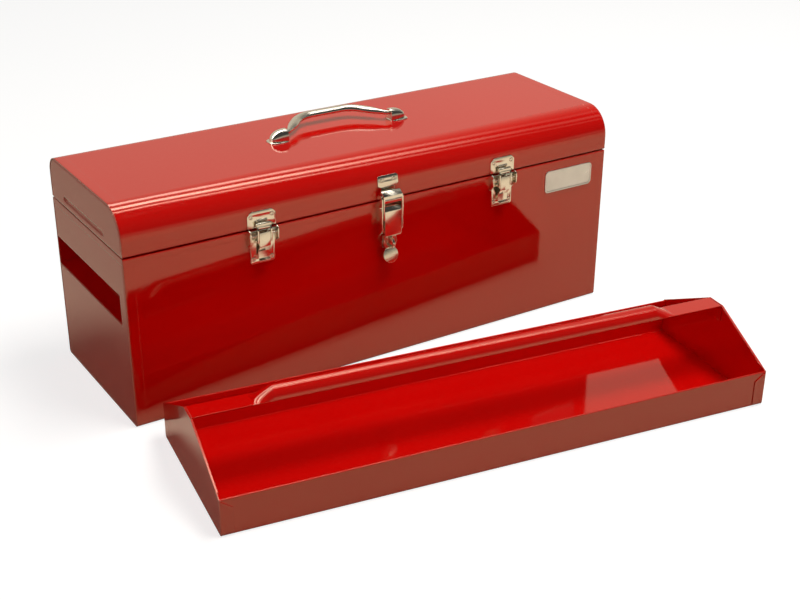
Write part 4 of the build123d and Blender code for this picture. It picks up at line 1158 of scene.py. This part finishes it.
@dataclass
class Studio:
    """Pale floor, soft lamps, the surroundings that gloss shows, and the photograph's camera."""

    target: Point = (17.0 * MM, -99.0 * MM, 65.0 * MM)
    azimuth: float = -32.60
    elevation: float = 26.00
    roll: float = 0.39
    distance: float = 1535.0 * MM
    lens: float = 61.07
    sensor: float = 36.0
    far: float = 50.0
    panel_strength: float = 8.0
    softbox_span: tuple[float, float] = (0.34, 0.61)
    softbox_fade: tuple[float, float] = (0.36, 0.60)
    softbox_end: float = 0.06
    softbox_slant: float = math.radians(140.0)
    softbox_tint: Point = (1.0, 0.97, 0.92)
    backdrop: tuple[Stop, ...] = (
        (-180.0, PALE), (-95.0, PALE), (-80.0, DIM), (-5.0, DIM), (20.0, HALF_PALE),
        (60.0, PALE), (180.0, PALE))
    softboxes: tuple[SoftBox, ...] = (
        SoftBox(middle=1.5, width=3.0, edge=1.5, strength=5.5),
        SoftBox(middle=18.0, width=6.0, edge=3.0, strength=8.0),
        SoftBox(middle=41.0, width=5.0, edge=5.0, strength=4.5))
    soft_light: float = 0.22
    soft_tint: Colour = (1.0, 0.98, 0.95, 1.0)
    white: Colour = (1.0, 1.0, 1.0, 1.0)
    floor_half: float = 6.0
    floor_seen: Colour = (0.38, 0.38, 0.38, 1.0)
    floor_mirrored: Colour = (0.88, 0.75, 0.60, 1.0)
    floor_lit: Colour = (0.16, 0.15, 0.145, 1.0)
    floor_glow: float = 0.74
    lamps: tuple[SoftLamp, ...] = (
        SoftLamp("overhead_soft", at=(0.7, -0.65, 2.7), aim=(0.0, -0.25, 0.1), size=(1.6, 0.8),
                 watts=59.0),
        SoftLamp("front_fill", at=(1.2, -2.2, 1.5), aim=(0.1, -0.2, 0.1), size=(1.4, 1.0),
                 watts=4.0),
        SoftLamp("left_fill", at=(-2.2, -0.6, 1.2), aim=(-0.3, -0.1, 0.1), size=(1.2, 1.0),
                 watts=3.0))

    def camera(self) -> None:
        """Stand the camera at the photograph's view."""
        turn, lift, lean = (math.radians(v) for v in (self.azimuth, self.elevation, self.roll))
        back = Vector((math.sin(turn) * math.cos(lift), -math.cos(turn) * math.cos(lift),
                       math.sin(lift)))
        right = (-back).cross(Vector((0, 0, 1))).normalized()
        up = right.cross(-back)
        right, up = (math.cos(lean) * right + math.sin(lean) * up,
                     math.cos(lean) * up - math.sin(lean) * right)
        data = bpy.data.cameras.new("photo_camera")
        data.lens = self.lens
        data.sensor_width = self.sensor
        data.clip_end = self.far
        camera = bpy.data.objects.new("photo_camera", data)
        bpy.context.scene.collection.objects.link(camera)
        pose = Matrix((right, up, back)).transposed().to_4x4()
        pose.translation = Vector(self.target) + back * self.distance
        camera.matrix_world = pose
        bpy.context.scene.camera = camera

    def panel_ramp(self, sheet: NodeSheet, row: int, turn: Socket,
                   stops: tuple[Stop, ...]) -> Socket:
        """Brightness of the studio's panels over the angle from straight up towards the rear.

        Args:
            sheet: The world's sheet.
            row: Place from the top.
            turn: The angle in radians.
            stops: Angles in degrees with their brightness.

        Returns:
            The brightness over the panel strength.
        """
        place = sheet.math("MULTIPLY_ADD", 4, row, turn, 0.5 / math.pi, 0.5)
        ramp = sheet.add("ShaderNodeValToRGB", 5, row, {0: place})
        marks = ramp.color_ramp.elements
        for degrees, _ in stops[1:-1]:
            marks.new(degrees / 360.0 + 0.5)
        for mark, (degrees, shade) in zip(marks, stops):
            mark.position = degrees / 360.0 + 0.5
            mark.color = tuple(value / self.panel_strength for value in shade) + (1.0,)
        return ramp.outputs["Color"]

    def world(self) -> None:
        """White to the camera, soft grey for light, backdrop and soft boxes for gloss."""
        world = bpy.data.worlds.new("surroundings")
        bpy.context.scene.world = world
        world.use_nodes = True
        sheet = NodeSheet(world.node_tree)
        path = sheet.add("ShaderNodeLightPath", 0, 0)
        way = sheet.add("ShaderNodeTexCoord", 0, 1)
        split = sheet.add("ShaderNodeSeparateXYZ", 1, 1, {0: way.outputs["Generated"]})
        turn = sheet.math("ARCTAN2", 2, 1, split.outputs["Y"], split.outputs["Z"])
        side = sheet.add("ShaderNodeClamp", 2, 2, {
            "Value": split.outputs["X"], "Min": self.softbox_span[0], "Max": self.softbox_span[1]})
        slant = sheet.math("MULTIPLY_ADD", 3, 2, side.outputs["Result"], self.softbox_slant,
                           -self.softbox_slant * self.softbox_span[0])
        feeds = {"Value": split.outputs["X"], "From Min": self.softbox_fade[0],
                 "From Max": self.softbox_fade[1], "To Min": 1.0, "To Max": self.softbox_end}
        fade = sheet.add("ShaderNodeMapRange", 4, 3, feeds, interpolation_type="SMOOTHSTEP")
        backdrop = self.panel_ramp(sheet, 1, turn, self.backdrop)
        lit = tuple(stop for box in self.softboxes for stop in box.stops(self.softbox_tint))
        boxes = self.panel_ramp(sheet, 2, sheet.math("ADD", 3, 3, turn, slant),
                                ((-180.0, BLACK), *lit, (180.0, BLACK)))
        feeds = {0: boxes, "Scale": fade.outputs["Result"]}
        dimmed = sheet.add("ShaderNodeVectorMath", 6, 3, feeds, operation="SCALE")
        feeds = {0: backdrop, 1: dimmed.outputs["Vector"]}
        both = sheet.add("ShaderNodeVectorMath", 7, 3, feeds, operation="ADD")
        shiny = sheet.math("MAXIMUM", 5, 0, path.outputs["Is Glossy Ray"],
                           path.outputs["Is Transmission Ray"])
        feeds = {"Color": self.soft_tint, "Strength": self.soft_light}
        shown = sheet.add("ShaderNodeBackground", 6, 2, feeds).outputs[0]
        for row, factor, tint, strength in (
                (1, shiny, both.outputs["Vector"], self.panel_strength),
                (0, path.outputs["Is Camera Ray"], self.white, 1.0)):
            light = sheet.add("ShaderNodeBackground", 6, row, {"Color": tint, "Strength": strength})
            feeds = {0: factor, 1: shown, 2: light.outputs[0]}
            shown = sheet.add("ShaderNodeMixShader", 8, row, feeds).outputs[0]
        sheet.add("ShaderNodeOutputWorld", 9, 0, {"Surface": shown})

    def floor(self) -> None:
        """Lay a plain pale floor that keeps the object's shadow."""
        half, level = self.floor_half, min(corner[2] for corner in CAD_BOX)
        mesh = bpy.data.meshes.new("floor")
        corners = ((-half, -half), (half, -half), (half, half), (-half, half))
        mesh.from_pydata([(x, y, level) for x, y in corners], [], [(0, 1, 2, 3)])
        piece = link_object("floor", mesh)
        material = bpy.data.materials.new("pale_floor")
        material.use_nodes = True
        sheet = NodeSheet(material.node_tree)
        path = sheet.add("ShaderNodeLightPath", 0, 0)
        tone = mix_colour(sheet, 2, 1, path.outputs["Is Glossy Ray"], self.floor_lit,
                          self.floor_mirrored)
        tone = mix_colour(sheet, 2, 0, path.outputs["Is Camera Ray"], tone, self.floor_seen)
        matt = sheet.add("ShaderNodeBsdfDiffuse", 3, 0, {"Color": tone})
        strength = sheet.math("MULTIPLY", 2, 2, path.outputs["Is Camera Ray"], self.floor_glow)
        glow = sheet.add("ShaderNodeEmission", 3, 1, {"Strength": strength})
        both = sheet.add("ShaderNodeAddShader", 4, 0, {0: matt.outputs[0], 1: glow.outputs[0]})
        sheet.add("ShaderNodeOutputMaterial", 5, 0, {"Surface": both.outputs[0]})
        mesh.materials.append(material)

    def build(self) -> None:
        """Build the whole studio."""
        self.camera()
        self.world()
        self.floor()
        for lamp in self.lamps:
            lamp.hang()
        bpy.context.scene.view_settings.view_transform = "Standard"


def main() -> None:
    """Build the studio and the tool box."""
    logging.basicConfig(level=logging.INFO, format="%(name)s %(message)s")
    Studio().build()
    ToolBox().build()


if __name__ == "__main__":
    main()
